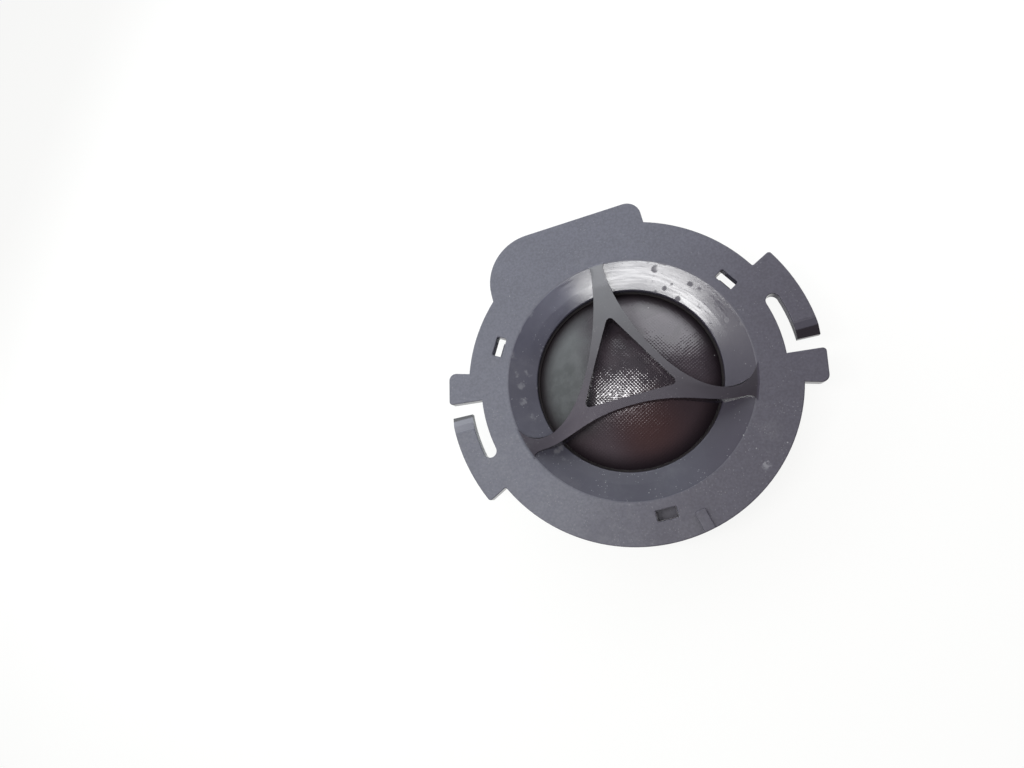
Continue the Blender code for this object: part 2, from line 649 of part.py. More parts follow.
def make_dome(mat):
    outer = cap_surface(DOME_HEIGHT, DOME_R, SURROUND_Z, 8, True)
    inner = cap_surface(DOME_HEIGHT - DOME_WALL, DOME_R - DOME_WALL, SURROUND_Z, 8, False)
    return finish(turned("dome", outer + inner, INNER_STEPS, PARTS), mat)


def make_surround(mat):
    """Half roll from the dome's edge to a flat rim clamped under the plate."""
    top = SURROUND_Z + SURROUND_WALL
    rim_r = OPENING_R + SURROUND_CLAMP
    steps = 6
    roll = [(ROLL_R + SURROUND_ROLL * i / steps,
             SURROUND_ROLL_HEIGHT * math.sin(math.pi * i / steps)) for i in range(steps + 1)]
    upper = [(r, top + z) for r, z in roll]
    lower = [(r, SURROUND_Z + z) for r, z in reversed(roll)]
    return finish(turned("surround", upper + [(rim_r, top), (rim_r, SURROUND_Z)] + lower,
                         INNER_STEPS, PARTS, ring=True), mat)


def make_ring(name, inner_r, outer_r, low, high, mat, notches=()):
    ring = turned(name, [(inner_r, high), (outer_r, high), (outer_r, low), (inner_r, low)],
                  INNER_STEPS, PARTS, ring=True)
    cut(ring, *notches)
    return finish(ring, mat)


def make_disc(name, radius, low, high, mat):
    profile = [(0.0, high), (radius, high), (radius, low), (0.0, low)]
    return finish(turned(name, profile, INNER_STEPS, PARTS), mat)


def lead_places():
    """Where each coil lead leaves over the yoke."""
    return {"positive": LEAD_SLOT_X + LEAD_SLOT_WIDTH + SIDE_GAP, "negative": pin_xs()["negative"]}


def make_diaphragm_ring(mat):
    lead_z = RING_Z + RING_HEIGHT / 2.0
    notches = [block("lead_notch_" + label, (x - 2.0 * COIL_LEAD_R, 0.0, 0.0),
                     (x + 2.0 * COIL_LEAD_R, HOUSING_R, lead_z + COIL_LEAD_R + SEAT_GAP), CUTTERS)
               for label, x in lead_places().items()]
    return make_ring("diaphragm_ring", YOKE_R - RING_OVERLAP, HOUSING_BORE_R - RING_OUTER_ROOM,
                     RING_Z, RING_Z + RING_HEIGHT, mat, notches)


def make_yoke_cup(mat):
    floor_z = YOKE_Z + YOKE_FLOOR
    profile = [(YOKE_R, POLE_TOP_Z), (YOKE_R, YOKE_Z), (0.0, YOKE_Z), (0.0, floor_z),
               (YOKE_BORE_R, floor_z), (YOKE_BORE_R, POLE_TOP_Z), (YOKE_R, POLE_TOP_Z)]
    return finish(turned("yoke_cup", profile, INNER_STEPS, PARTS), mat)


def make_terminal(label, x, mat):
    """An L-shaped strip: upright solder tag inside, contact pin in the socket."""
    low = PIN_TOP_Z - PIN_HEIGHT
    tag_back = TAG_Y + TAG_THICKNESS
    tip = SOCKET_BACK_Y + PIN_REACH
    outline = [(TAG_Y, low), (tip, low), (tip, PIN_TOP_Z), (tag_back, PIN_TOP_Z), (tag_back, TAG_TOP_Z),
               (TAG_Y, TAG_TOP_Z)]
    strip = slab("terminal_" + label, outline, PIN_WIDTH / 2.0, 90.0, PARTS)
    strip.data.transform(Matrix.Translation((x, 0.0, 0.0)))
    return finish(strip, mat)


def make_coil_lead(label, x, mat):
    """From beside the coil, out over the yoke through the ring's notch, and down to the tag."""
    start_y = math.sqrt((YOKE_BORE_R + RUNNING_GAP) ** 2 - x ** 2)
    lead_z = RING_Z + RING_HEIGHT / 2.0
    end_z = (PIN_TOP_Z + TAG_TOP_Z) / 2.0
    route = [(x, start_y, lead_z), (x, LEAD_DROP_Y, lead_z), (x, LEAD_DROP_Y, end_z)]
    return finish(wire("coil_lead_" + label, route, COIL_LEAD_R, PARTS), mat)


def make_capacitor(can_mat, sleeve_mat, bung_mat):
    """A small can lying along X in its bay, its bung towards the socket."""
    bore = CAP_R + SEAT_GAP / 2.0
    steps = 24
    can_profile = [(0.0, CAP_LENGTH), (CAP_R, CAP_LENGTH), (CAP_R, 0.0), (0.0, 0.0)]
    can = turned("capacitor_can", can_profile, steps, PARTS)
    sleeve_profile = [(bore, CAP_LENGTH), (CAP_OUTER_R, CAP_LENGTH), (CAP_OUTER_R, 0.0), (bore, 0.0)]
    sleeve = turned("capacitor_sleeve", sleeve_profile, steps, PARTS, ring=True)
    bung_r = CAP_R - BUNG_INSET
    bung_low = CAP_LENGTH + SEAT_GAP
    bung = turned("capacitor_bung", [(0.0, bung_low + BUNG_LENGTH), (bung_r, bung_low + BUNG_LENGTH),
                                     (bung_r, bung_low), (0.0, bung_low)], steps, PARTS)
    for obj, mat in ((can, can_mat), (sleeve, sleeve_mat), (bung, bung_mat)):
        finish(obj, mat)
        obj.data.transform(Matrix.Rotation(math.radians(90.0), 4, "Y"))
        obj.data.transform(Matrix.Translation((CAP_LEFT_X, CAP_Y, CAP_Z)))


def make_capacitor_leads(mat):
    """One lead to the positive tag, the other to the coil's positive lead."""
    start_x = CAP_RIGHT_X + SEAT_GAP + BUNG_LENGTH + SEAT_GAP
    spread = LEAD_SLOT_WIDTH / 4.0
    near_x = LEAD_SLOT_X + spread
    far_x = LEAD_SLOT_X - spread
    inside_y = (YOKE_R + HOUSING_BORE_R) / 2.0
    low_z = PIN_TOP_Z + CAP_LEAD_R + SIDE_GAP
    high_z = RING_Z - CAP_LEAD_R - SIDE_GAP
    coil_x = lead_places()["positive"]
    tag_x = pin_xs()["positive"] - PIN_WIDTH / 2.0 - SEAT_GAP
    coil_y = LEAD_DROP_Y - COIL_LEAD_R - CAP_LEAD_R - SEAT_GAP
    lead_in = [(start_x, CAP_Y + CAP_LEAD_SPREAD, CAP_Z), (near_x, CAP_Y + CAP_LEAD_SPREAD, CAP_Z),
               (near_x, HOUSING_R, low_z), (near_x, inside_y, low_z), (tag_x, inside_y, low_z)]
    lead_out = [(start_x, CAP_Y - CAP_LEAD_SPREAD, CAP_Z), (far_x, CAP_Y - CAP_LEAD_SPREAD, CAP_Z),
                (far_x, HOUSING_R, high_z), (far_x, coil_y, high_z), (coil_x, coil_y, high_z)]
    finish(wire("capacitor_lead_in", lead_in, CAP_LEAD_R, PARTS), mat)
    finish(wire("capacitor_lead_out", lead_out, CAP_LEAD_R, PARTS), mat)


def main():
    plate_plastic = material("plate_plastic", (0.105, 0.105, 0.120), 0.55)
    housing_plastic = material("housing_plastic", (0.030, 0.030, 0.033), 0.50)
    cloth = material("coated_cloth", (0.050, 0.052, 0.050), 0.45)
    ring_plastic = material("ring_plastic", (0.020, 0.020, 0.022), 0.45)
    former_film = material("former_film", (0.45, 0.28, 0.10), 0.40)
    copper = material("enamelled_copper", (0.60, 0.26, 0.10), 0.35, 1.0)
    steel = material("plated_steel", (0.62, 0.61, 0.58), 0.35, 1.0)
    magnet_nickel = material("magnet_nickel", (0.55, 0.55, 0.55), 0.25, 1.0)
    felt = material("grey_felt", (0.16, 0.16, 0.17), 0.95)
    tin = material("tinned_brass", (0.72, 0.70, 0.64), 0.30, 1.0)
    can_metal = material("can_metal", (0.70, 0.70, 0.72), 0.30, 1.0)
    sleeve_film = material("sleeve_film", (0.03, 0.05, 0.12), 0.40)
    rubber = material("bung_rubber", (0.025, 0.025, 0.025), 0.70)

    make_front_plate(plate_plastic)
    make_rear_housing(housing_plastic)
    make_dome(cloth)
    make_surround(cloth)
    make_diaphragm_ring(ring_plastic)
    former_low = SURROUND_Z - SEAT_GAP - FORMER_DEPTH
    former_high = dome_inside_z(FORMER_R) - SEAT_GAP
    make_ring("voice_coil_former", FORMER_BORE_R, FORMER_R, former_low, former_high, former_film)
    coil_low = former_low + COIL_TAIL
    make_ring("voice_coil", COIL_BORE_R, COIL_R, coil_low, coil_low + COIL_HEIGHT, copper)
    make_disc("pole_plate", POLE_R, POLE_Z, POLE_TOP_Z, steel)
    make_disc("magnet", MAGNET_R, MAGNET_Z, MAGNET_Z + MAGNET_THICKNESS, magnet_nickel)
    make_yoke_cup(steel)
    pad_low = POLE_TOP_Z + SEAT_GAP
    make_disc("damping_pad", POLE_R - PAD_INSET, pad_low, pad_low + PAD_THICKNESS, felt)
    for label, x in pin_xs().items():
        make_terminal(label, x, tin)
    for label, x in lead_places().items():
        make_coil_lead(label, x, copper)
    make_capacitor(can_metal, sleeve_film, rubber)
    make_capacitor_leads(tin)


main()
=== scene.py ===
"""Dressed model of the soft-dome car tweeter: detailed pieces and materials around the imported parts."""

import math

import bmesh
import bpy
from mathutils import Matrix, Vector


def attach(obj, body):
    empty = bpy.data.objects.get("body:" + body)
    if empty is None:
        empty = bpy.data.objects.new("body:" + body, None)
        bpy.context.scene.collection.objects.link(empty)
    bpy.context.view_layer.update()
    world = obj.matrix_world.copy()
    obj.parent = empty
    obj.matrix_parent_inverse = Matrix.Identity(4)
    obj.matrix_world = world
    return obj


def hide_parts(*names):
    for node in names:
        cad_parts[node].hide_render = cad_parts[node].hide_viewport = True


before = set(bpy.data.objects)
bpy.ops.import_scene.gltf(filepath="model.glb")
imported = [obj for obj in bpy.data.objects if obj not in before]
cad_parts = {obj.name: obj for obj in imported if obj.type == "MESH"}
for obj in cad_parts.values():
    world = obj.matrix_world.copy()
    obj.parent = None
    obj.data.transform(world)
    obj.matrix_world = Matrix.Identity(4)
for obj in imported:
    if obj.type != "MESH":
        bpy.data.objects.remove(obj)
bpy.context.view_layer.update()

# Heights and radii of the part, metres
FRONT_Z = 0.0149
FLANGE_Z = 0.0129
OPENING_Z = 0.0134
LIP_Z = 0.0125
SURROUND_Z = 0.0119
RIM_Z = 0.0127
LEDGE_Z = 0.0106
GUARD_Z = 0.0169
GUARD_RISE = 0.0040
CROWN_R = 0.0204
FUNNEL_R = 0.0202
CREASE_R = 0.0173
CREASE_DROP = 0.00084
CREASE_ROUND = 0.004
OPENING_R = 0.0153
BOSS_R = 0.01818
FLANGE_R = 0.0270
DOME_R = 0.01490
DOME_Z = 0.01215
DOME_HEIGHT = 0.00435
DOME_WALL = 0.0003
ROLL_R = 0.01495
CREST_R = 0.01514
CLAMP_R = 0.0167
HOUSING_R = 0.01968
HOUSING_BORE_R = 0.01848
HOUSING_FLOOR = 0.0015
LEDGE_R = 0.02043
OVERCUT = 0.002              # how far a cutter stands out of what it cuts
WELD = 0.000001

# Plan of the front plate
LOBE_LEFT, LOBE_RIGHT, LOBE_Y = 0.0187, 0.0097, 0.0295
LOBE_LEFT_FILLET, LOBE_RIGHT_FILLET = 0.0085, 0.0025
TAB_R, TAB_START, TAB_END = 0.03065, -17.5, -7.0
TAB_BACK_ROUND, TAB_FRONT_ROUND = 0.0012, 0.0006
SLOT_R, FINGER_R, FINGER_OUT_R = 0.0248, 0.0270, 0.0305
SLOT_END, FINGER_TIP, FINGER_ROOT = 12.8, -2.7, 27.0
ROOT_ROUND, ROOT_FILLET = 0.0005, 0.0006
ROOT_TURN = math.degrees(ROOT_FILLET / FLANGE_R)
WINDOW_DEGS = (30.0, 150.0, 270.0)
WINDOW_R, WINDOW_WIDTH, WINDOW_LENGTH, WINDOW_ROUND = 0.02168, 0.00169, 0.00332, 0.00018
KEY_DEG, KEY_WIDTH, KEY_R, KEY_HEIGHT = -78.0, 0.00175, 0.0236, 0.0007
KEY_ROUND, KEY_EDGE, KEY_SINK = 0.00025, 0.00012, 0.0005
EDGE = 0.00016               # rounding of the plate's moulded edges

# Sloped tips of the spring fingers
RAMP_LENGTH, RAMP_BEND = 0.0028, 0.0014
RAMP_DEPTH, RAMP_BEND_DEPTH = 0.00095, 0.00025
RAMP_PAST, RAMP_HALF_WIDTH, RAMP_X = 0.0003, 0.0034, 0.0292
RAMP_REACH = 0.0015          # how far a ramp goes from the X axis

# Latches under the windows
LATCH_INNER_R, LATCH_OUTER_R = 0.02073, 0.02158
LATCH_LIP_R = (0.02283, 0.02283, 0.02335)
LATCH_HALF = (0.0013, 0.0013, 0.00164)
LATCH_BARB, LATCH_HOOK, LATCH_TOE = 0.0003, 0.0008, 0.0022
LATCH_SHELF, LATCH_SINK, LATCH_EDGE = 0.0015, 0.0004, 0.00008

# Plan of the guard
ARM_COUNT, BAR_COUNT = 26, 26
GUARD_END_R = 0.0206
GUARD_EDGE = 0.00050
GUARD_LEAN = 0.00038         # sideways set of the guard's middle towards -X
HOLE = ((0.0, 0.01022), (-0.00764, -0.00370), (0.00764, -0.00370))
HOLE_ROUND = 0.0006
TOP_ARM_HALF, TOP_ARM_Y = 0.0011, 0.0192
SIDE_ARM_UPPER, SIDE_ARM_LOWER, SIDE_ARM_X = 0.00615, 0.00795, 0.0155
SIDE_ARM_DEG, SIDE_UPPER_DEG, SIDE_LOWER_DEG = -17.6, -9.3, -26.0
BAR_EDGE = 0.00512
UNDERSIDE = ((0.0, GUARD_Z), (0.00775, GUARD_Z), (0.0150, 0.01295), (0.0156, 0.01295),
             (0.0171, 0.0131), (0.0208, 0.0141))

# Plan and heights of the rear housing
BOX_LEFT, BOX_RIGHT, BOX_Y, BOX_START_Y = 0.01735, 0.00835, 0.02815, 0.0150
BOX_LEFT_FILLET, BOX_FILLET = 0.00715, 0.0012
BOX_LOW, BOX_FLOOR, BOX_EDGE = 0.0026, 0.0038, 0.0003
BAY_LEFT, BAY_RIGHT, BAY_Y, BAY_FILLET = 0.01615, -0.00265, 0.02695, 0.00595
SOCKET_LEFT, SOCKET_RIGHT, SOCKET_BACK, SOCKET_TOP = -0.00145, 0.00715, 0.02045, 0.0093
SOCKET_X, SOCKET_Z = 0.00285, 0.00655
MOUTH_DEPTH, MOUTH_FLARE = 0.0006, 0.0006
LOCK_HALF, LOCK_START_Y, LOCK_END_Y = 0.0015, 0.02365, 0.02515
LEAD_SLOT_LEFT, LEAD_SLOT_RIGHT = -0.00485, -0.00295
PIN_XS, PIN_HALF_WIDTH, PIN_HALF_HEIGHT, PIN_REACH = (0.00155, 0.00415), 0.0006, 0.0005, 0.00385
TAG_Y = 0.0167
GROOVE = ((0.0162, 0.0), (0.0160, 0.0003), (0.0152, 0.0003), (0.0150, 0.0))
EJECTOR_DEGS, EJECTOR_PLACE_R = (90.0, 210.0, 330.0), 0.0105
EJECTOR_R, EJECTOR_DEPTH = 0.00125, 0.00012

# Finishes
BLACK, WHITE = (0.0, 0.0, 0.0), (1.0, 1.0, 1.0)
WEAVE_PITCH, WEAVE_TURN = 0.00042, 62.0

# Camera, floor and light
PHOTO_WIDTH, FOCAL_PIXELS, SENSOR_WIDTH = 1024.0, 660.0, 36.0
CAMERA_PLACE = (-0.000593, -0.021069, 0.122341)
CAMERA_TURN = (10.452123, 12.497833, -13.752357)
FLOOR_Z, FLOOR_HALF = -0.0002, 3.0
GLOW_START_R, GLOW_FULL_R, GLOW_SHARE = 0.0243, 0.0264, 0.84
SKY_TOWARDS, SKY_FROM, SKY_TO = (-0.50, 0.80, 0.30), -0.6, 0.8
SKY_DARK, SKY_LIGHT, SKY_SEEN = (0.20, 0.165, 0.18), (0.46, 0.49, 0.49), (0.95, 0.95, 0.94)

# Each lamp's name, direction, distance, width and height, watts, colour and turn of its width
LAMPS = (
    ("key", (-0.095, -0.14, 0.985), 0.19, (0.075, 0.036), 0.142, WHITE, -27.0),
    ("window", (-0.36, -0.045, 0.93), 0.196, (0.036, 0.034), 0.070, WHITE, -27.0),
    ("left", (-0.74, 0.46, 0.49), 0.13, (0.16, 0.11), 0.117, (0.92, 0.985, 1.0), 58.0),
    ("far", (0.45, 0.80, 0.40), 0.16, (0.21, 0.16), 0.220, (0.94, 0.955, 1.0), -24.0),
)


def polar(radius, degrees):
    angle = math.radians(degrees)
    return (radius * math.cos(angle), radius * math.sin(angle))


def arc(radius, start, end, step=2.5, centre=(0.0, 0.0)):
    """Points along a circular arc, angles in degrees."""
    count = max(2, round(abs(end - start) / step))
    spots = [polar(radius, start + (end - start) * i / count) for i in range(count + 1)]
    return [(centre[0] + x, centre[1] + y) for x, y in spots]


def bezier(start, start_handle, end_handle, end, count):
    """Points along a cubic curve, both ends included."""
    points = []
    for i in range(count + 1):
        t = i / count
        weights = ((1 - t) ** 3, 3 * t * (1 - t) ** 2, 3 * t * t * (1 - t), t ** 3)
        corners = (start, start_handle, end_handle, end)
        points.append(tuple(sum(w * c[k] for w, c in zip(weights, corners)) for k in range(2)))
    return points


def round_corner(before, corner, after, radius, count=12):
    """The points that replace a sharp corner by an arc."""
    corner = Vector(corner)
    to_before = (Vector(before) - corner).normalized()
    to_after = (Vector(after) - corner).normalized()
    half = to_before.angle(to_after) / 2.0
    reach = radius / math.tan(half)
    centre = corner + (to_before + to_after).normalized() * (radius / math.sin(half))
    first = corner + to_before * reach - centre
    last = corner + to_after * reach - centre
    sweep = first.angle_signed(last)
    return [tuple(centre + Matrix.Rotation(-sweep * i / count, 2) @ first) for i in range(count + 1)]


def rounded(corners, radius, count=6):
    """A closed outline with all its corners rounded."""
    points = []
    for i, corner in enumerate(corners):
        points += round_corner(corners[i - 1], corner, corners[(i + 1) % len(corners)], radius, count)
    return points


def resample(points, count):
    """The same path with count + 1 evenly spaced points."""
    lengths = [0.0]
    for a, b in zip(points, points[1:]):
        lengths.append(lengths[-1] + math.dist(a, b))
    result = []
    k = 0
    for i in range(count + 1):
        want = lengths[-1] * i / count
        while k < len(lengths) - 2 and lengths[k + 1] < want:
            k += 1
        span = lengths[k + 1] - lengths[k]
        t = (want - lengths[k]) / span if span else 0.0
        result.append(tuple(points[k][j] + (points[k + 1][j] - points[k][j]) * t for j in range(2)))
    return result


def mirrored(points):
    return [(-x, y) for x, y in points]


def joined(parts):
    """Three stretches of one path with their shared ends once."""
    return parts[0] + parts[1][1:] + parts[2][1:]


def new_object(name, data):
    obj = bpy.data.objects.new(name, data)
    bpy.context.scene.collection.objects.link(obj)
    return obj


def weld(mesh):
    work = bmesh.new()
    work.from_mesh(mesh)
    bmesh.ops.remove_doubles(work, verts=work.verts, dist=WELD)
    bmesh.ops.recalc_face_normals(work, faces=work.faces)
    work.to_mesh(mesh)
    work.free()


def evaluated_mesh(obj):
    bpy.context.view_layer.update()
    return bpy.data.meshes.new_from_object(obj.evaluated_get(bpy.context.evaluated_depsgraph_get()))


def bake(obj):
    """Apply the object's modifiers to its mesh."""
    mesh = evaluated_mesh(obj)
    obj.modifiers.clear()
    obj.data = mesh
    weld(mesh)
    return obj


def turned(name, profile, steps=128, ring=False):
    """A body of revolution from (radius, height) points that run down its outer side."""
    mesh = bpy.data.meshes.new(name)
    edges = [(i, i + 1) for i in range(len(profile) - 1)]
    if ring:
        edges.append((len(profile) - 1, 0))
    mesh.from_pydata([(r, 0.0, z) for r, z in profile], edges, [])
    obj = new_object(name, mesh)
    screw = obj.modifiers.new("turn", "SCREW")
    screw.steps = steps
    screw.render_steps = steps
    screw.use_merge_vertices = True
    screw.merge_threshold = 5.0 * WELD
    return bake(obj)


def flat(name, outlines, low, high, edge=0.0, resolution=2):
    """Outlines filled and raised from low to high, the rims rounded by edge."""
    curve = bpy.data.curves.new(name, "CURVE")
    curve.dimensions = "2D"
    curve.fill_mode = "BOTH"
    curve.extrude = (high - low) / 2.0 - edge
    curve.bevel_depth = edge
    curve.bevel_resolution = resolution
    curve.offset = -edge
    for points in outlines:
        spline = curve.splines.new("POLY")
        spline.points.add(len(points) - 1)
        for point, (x, y) in zip(spline.points, points):
            point.co = (x, y, 0.0, 1.0)
        spline.use_cyclic_u = True
    guide = new_object(name + "_guide", curve)
    mesh = evaluated_mesh(guide)
    mesh.transform(Matrix.Translation((0.0, 0.0, (low + high) / 2.0)))
    weld(mesh)
    bpy.data.objects.remove(guide, do_unlink=True)
    return new_object(name, mesh)


def slab(name, outline, half_width, turn, edge=0.0):
    """An outline of (radius, height) points, thickened across and turned about Z."""
    obj = flat(name, [outline], -half_width, half_width, edge, 1)
    obj.data.transform(Matrix.Rotation(math.radians(90.0), 4, "X"))
    obj.data.transform(Matrix.Rotation(math.radians(turn), 4, "Z"))
    return obj


def block(name, low, high):
    """A box between two corners."""
    low, high = Vector(low), Vector(high)
    mesh = bpy.data.meshes.new(name)
    work = bmesh.new()
    bmesh.ops.create_cube(work, size=1.0)
    bmesh.ops.scale(work, vec=high - low, verts=work.verts)
    bmesh.ops.translate(work, vec=(low + high) / 2.0, verts=work.verts)
    work.to_mesh(mesh)
    work.free()
    return new_object(name, mesh)


def tapered(name, low, high, flare):
    """A box that widens by flare towards its +Y end."""
    obj = block(name, low, high)
    for vertex in obj.data.vertices:
        if vertex.co.y > (low[1] + high[1]) / 2.0:
            vertex.co.x += math.copysign(flare, vertex.co.x - (low[0] + high[0]) / 2.0)
            vertex.co.z += math.copysign(flare, vertex.co.z - (low[2] + high[2]) / 2.0)
    return obj


def combine(obj, operation, *others):
    """Boolean other objects into this one and remove them."""
    for other in others:
        modifier = obj.modifiers.new("cut", "BOOLEAN")
        modifier.operation = operation
        modifier.object = other
        modifier.solver = "EXACT"
        bake(obj)
        bpy.data.objects.remove(other, do_unlink=True)


def shade(obj, sharp=32.0, weighted=True):
    """Smooth shading that keeps flat faces flat."""
    obj.data.shade_smooth()
    obj.data.set_sharp_from_angle(angle=math.radians(sharp))
    if weighted:
        normals = obj.modifiers.new("normals", "WEIGHTED_NORMAL")
        normals.weight = 90
        normals.keep_sharp = True


def dress(obj, material, body, node):
    """Give a piece its material, hang it on the body it rides on and hide the CAD part it stands for."""
    obj.data.materials.clear()
    obj.data.materials.append(material)
    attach(obj, body)
    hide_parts(node)


class Graph:
    """A material's node tree, with short calls for the nodes used here."""

    def __init__(self, name):
        self.mat = bpy.data.materials.new(name)
        self.mat.use_nodes = True
        self.tree = self.mat.node_tree
        self.shader = self.tree.nodes["Principled BSDF"]
        coords = self.tree.nodes.new("ShaderNodeTexCoord")
        self.place = coords.outputs["Object"]
        self.facing = coords.outputs["Normal"]

    def set(self, **values):
        """Plain values on the shader's own sockets."""
        for key, value in values.items():
            self.shader.inputs[key.replace("_", " ")].default_value = value

    def use(self, **sockets):
        """Links or values for the shader; gives the finished material."""
        for key, value in sockets.items():
            self.feed(self.shader.inputs[key.replace("_", " ")], value)
        return self.mat

    def feed(self, socket, value):
        if hasattr(value, "is_output"):
            self.tree.links.new(value, socket)
        else:
            socket.default_value = value

    def node(self, kind, out, settings=None, **inputs):
        """A new node's output; i0, i1 and so on name its inputs by number."""
        made = self.tree.nodes.new("ShaderNode" + kind)
        for key, value in (settings or {}).items():
            setattr(made, key, value)
        for key, value in inputs.items():
            name = int(key[1:]) if key[0] == "i" and key[1:].isdigit() else key.replace("_", " ")
            self.feed(made.inputs[name], value)
        return made.outputs[out]

    def math(self, operation, a, b=0.0):
        return self.node("Math", 0, {"operation": operation}, i0=a, i1=b)

    def plus(self, a, b):
        return self.math("ADD", a, b)

    def minus(self, a, b):
        return self.math("SUBTRACT", a, b)

    def times(self, *factors):
        product = factors[0]
        for factor in factors[1:]:
            product = self.math("MULTIPLY", product, factor)
        return product

    def larger(self, a, b):
        return self.math("MAXIMUM", a, b)

    def noise(self, scale, detail=3.0, roughness=0.5, place=None, distortion=0.0):
        return self.node("TexNoise", "Fac", None, Vector=place or self.place, Scale=scale, Detail=detail,
                         Roughness=roughness, Distortion=distortion)

    def voronoi(self, scale):
        return self.node("TexVoronoi", "Distance", None, Vector=self.place, Scale=scale)

    def step(self, value, low, high):
        """0 below low, 1 above high, smooth between; low above high turns it round."""
        settings = {"interpolation_type": "SMOOTHSTEP", "clamp": True}
        return self.node("MapRange", "Result", settings, Value=value, From_Min=low, From_Max=high)

    def range(self, value, low, high):
        """0 to 1 brought to low to high."""
        return self.node("MapRange", "Result", {"clamp": True}, Value=value, To_Min=low, To_Max=high)

    def mix(self, share, first, second):
        """Mix two colours."""
        made = self.tree.nodes.new("ShaderNodeMix")
        made.data_type = "RGBA"
        for socket, value in zip((made.inputs[0], made.inputs[6], made.inputs[7]), (share, first, second)):
            if isinstance(value, tuple):
                value = (*value, 1.0)
            self.feed(socket, value)
        return made.outputs[2]

    def blend(self, share, first, second):
        """Mix two numbers."""
        return self.node("Mix", 0, {"data_type": "FLOAT"}, i0=share, i2=first, i3=second)

    def bump(self, height, distance, strength):
        return self.node("Bump", 0, None, Height=height, Distance=distance, Strength=strength)

    def split(self, vector):
        """The three parts of a vector."""
        parts = self.tree.nodes.new("ShaderNodeSeparateXYZ")
        self.tree.links.new(vector, parts.inputs[0])
        return parts.outputs[0], parts.outputs[1], parts.outputs[2]

    def axes(self):
        return self.split(self.place)

    def radius(self):
        """Distance from the part's axis."""
        x, y, _ = self.axes()
        return self.math("SQRT", self.plus(self.times(x, x), self.times(y, y)))

    def side(self, level=0.70, upright=0.40):
        """1 on upright walls, 0 on level faces, by the upward part of the normal."""
        return self.step(self.math("ABSOLUTE", self.split(self.facing)[2]), level, upright)

    def near(self, x, y, inner, outer):
        """1 within inner of a place in plan, 0 beyond outer."""
        ax, ay, _ = self.axes()
        across = self.math("POWER", self.minus(ax, x), 2.0)
        along = self.math("POWER", self.minus(ay, y), 2.0)
        return self.step(self.math("SQRT", self.plus(across, along)), outer, inner)


def plate_colour(g, sunk, raised, upper, fine):
    """Base colour, darker in the funnel, with painted light and shade: flange paler towards the lobe's left,
    funnel darker towards +X, guard paler towards the lobe.
    """
    x, y, _ = g.axes()
    cloud = g.step(g.noise(140.0, 4.0, 0.6), 0.3, 0.7)
    flange = g.mix(g.step(fine, 0.35, 0.65), (0.061, 0.061, 0.084), (0.083, 0.083, 0.111))
    flange = g.mix(cloud, flange, g.mix(0.10, flange, BLACK))
    # Painted light and shade: the flange is lighter towards the lobe's left and darker and purpler towards
    # the lower right.
    painted_light_share = g.step(g.minus(g.times(y, 0.6), g.times(x, 0.8)), -0.020, 0.010)
    painted_shade_flange = g.mix(0.40, flange, (0.012, 0.0, 0.009))
    flange = g.mix(painted_light_share, painted_shade_flange, g.mix(0.08, flange, (0.24, 0.25, 0.27)))
    funnel = g.mix(cloud, (0.050, 0.049, 0.066), (0.060, 0.059, 0.078))
    shaded = g.times(g.step(x, 0.002, 0.014), 0.30)
    colour = g.mix(sunk, flange, g.mix(shaded, funnel, (0.016, 0.0, 0.012)))
    # Painted light and shade on the guard: lighter towards the lobe, darker on its lower side.
    guard = g.mix(upper, (0.022, 0.018, 0.025), (0.086, 0.085, 0.092))
    return g.mix(raised, colour, g.mix(cloud, g.mix(0.12, guard, BLACK), guard))


def plate_dirt(g, colour, sunk, fine):
    """The colour under a scuff, a film, dried spots and dust, and the dust by itself."""
    x, y, _ = g.axes()
    radius = g.radius()
    lower = g.times(g.step(y, -0.004, -0.017), g.step(radius, 0.0175, 0.0195))
    dusty = g.step(g.plus(x, y), -0.012, -0.032)
    amount = g.plus(g.noise(420.0, 2.0), g.times(g.larger(lower, dusty), 0.10))
    specks = g.times(g.step(g.voronoi(2100.0), 0.26, 0.12), g.step(amount, 0.51, 0.67))
    crumbs = g.times(g.step(g.voronoi(700.0), 0.10, 0.05), g.step(amount, 0.64, 0.72))
    dust = g.larger(g.times(specks, 0.25), g.times(crumbs, 0.8))
    settling = g.plus(g.noise(95.0, 5.0, 0.7), g.times(dusty, 0.10))
    film = g.times(g.step(settling, 0.54, 0.74), g.range(fine, 0.0, 0.6))
    mottle = g.times(g.step(g.noise(640.0, 4.0, 0.7), 0.46, 0.70), g.range(dusty, 0.05, 0.42))
    film = g.larger(film, g.times(mottle, g.step(radius, FUNNEL_R - 0.0002, FUNNEL_R + 0.0002)))
    ragged = g.times(g.minus(g.noise(1900.0, 3.0, 0.7), 0.5), 0.55)
    dried = g.step(g.plus(g.voronoi(420.0), ragged), 0.34, 0.16)
    left = g.times(g.step(x, -0.010, -0.014), sunk)
    spots = g.times(dried, left, g.step(g.noise(330.0, 2.0), 0.42, 0.52))
    scuff = g.times(g.near(0.0164, -0.0188, 0.0003, 0.0011), g.step(g.noise(1500.0, 3.0), 0.45, 0.60))
    colour = g.mix(g.times(scuff, 0.45), colour, (0.26, 0.26, 0.28))
    colour = g.mix(g.times(film, 0.30), colour, (0.22, 0.22, 0.23))
    colour = g.mix(g.times(spots, 0.16), colour, (0.45, 0.45, 0.46))
    return g.mix(g.times(dust, 0.6), colour, (0.42, 0.42, 0.42)), dust


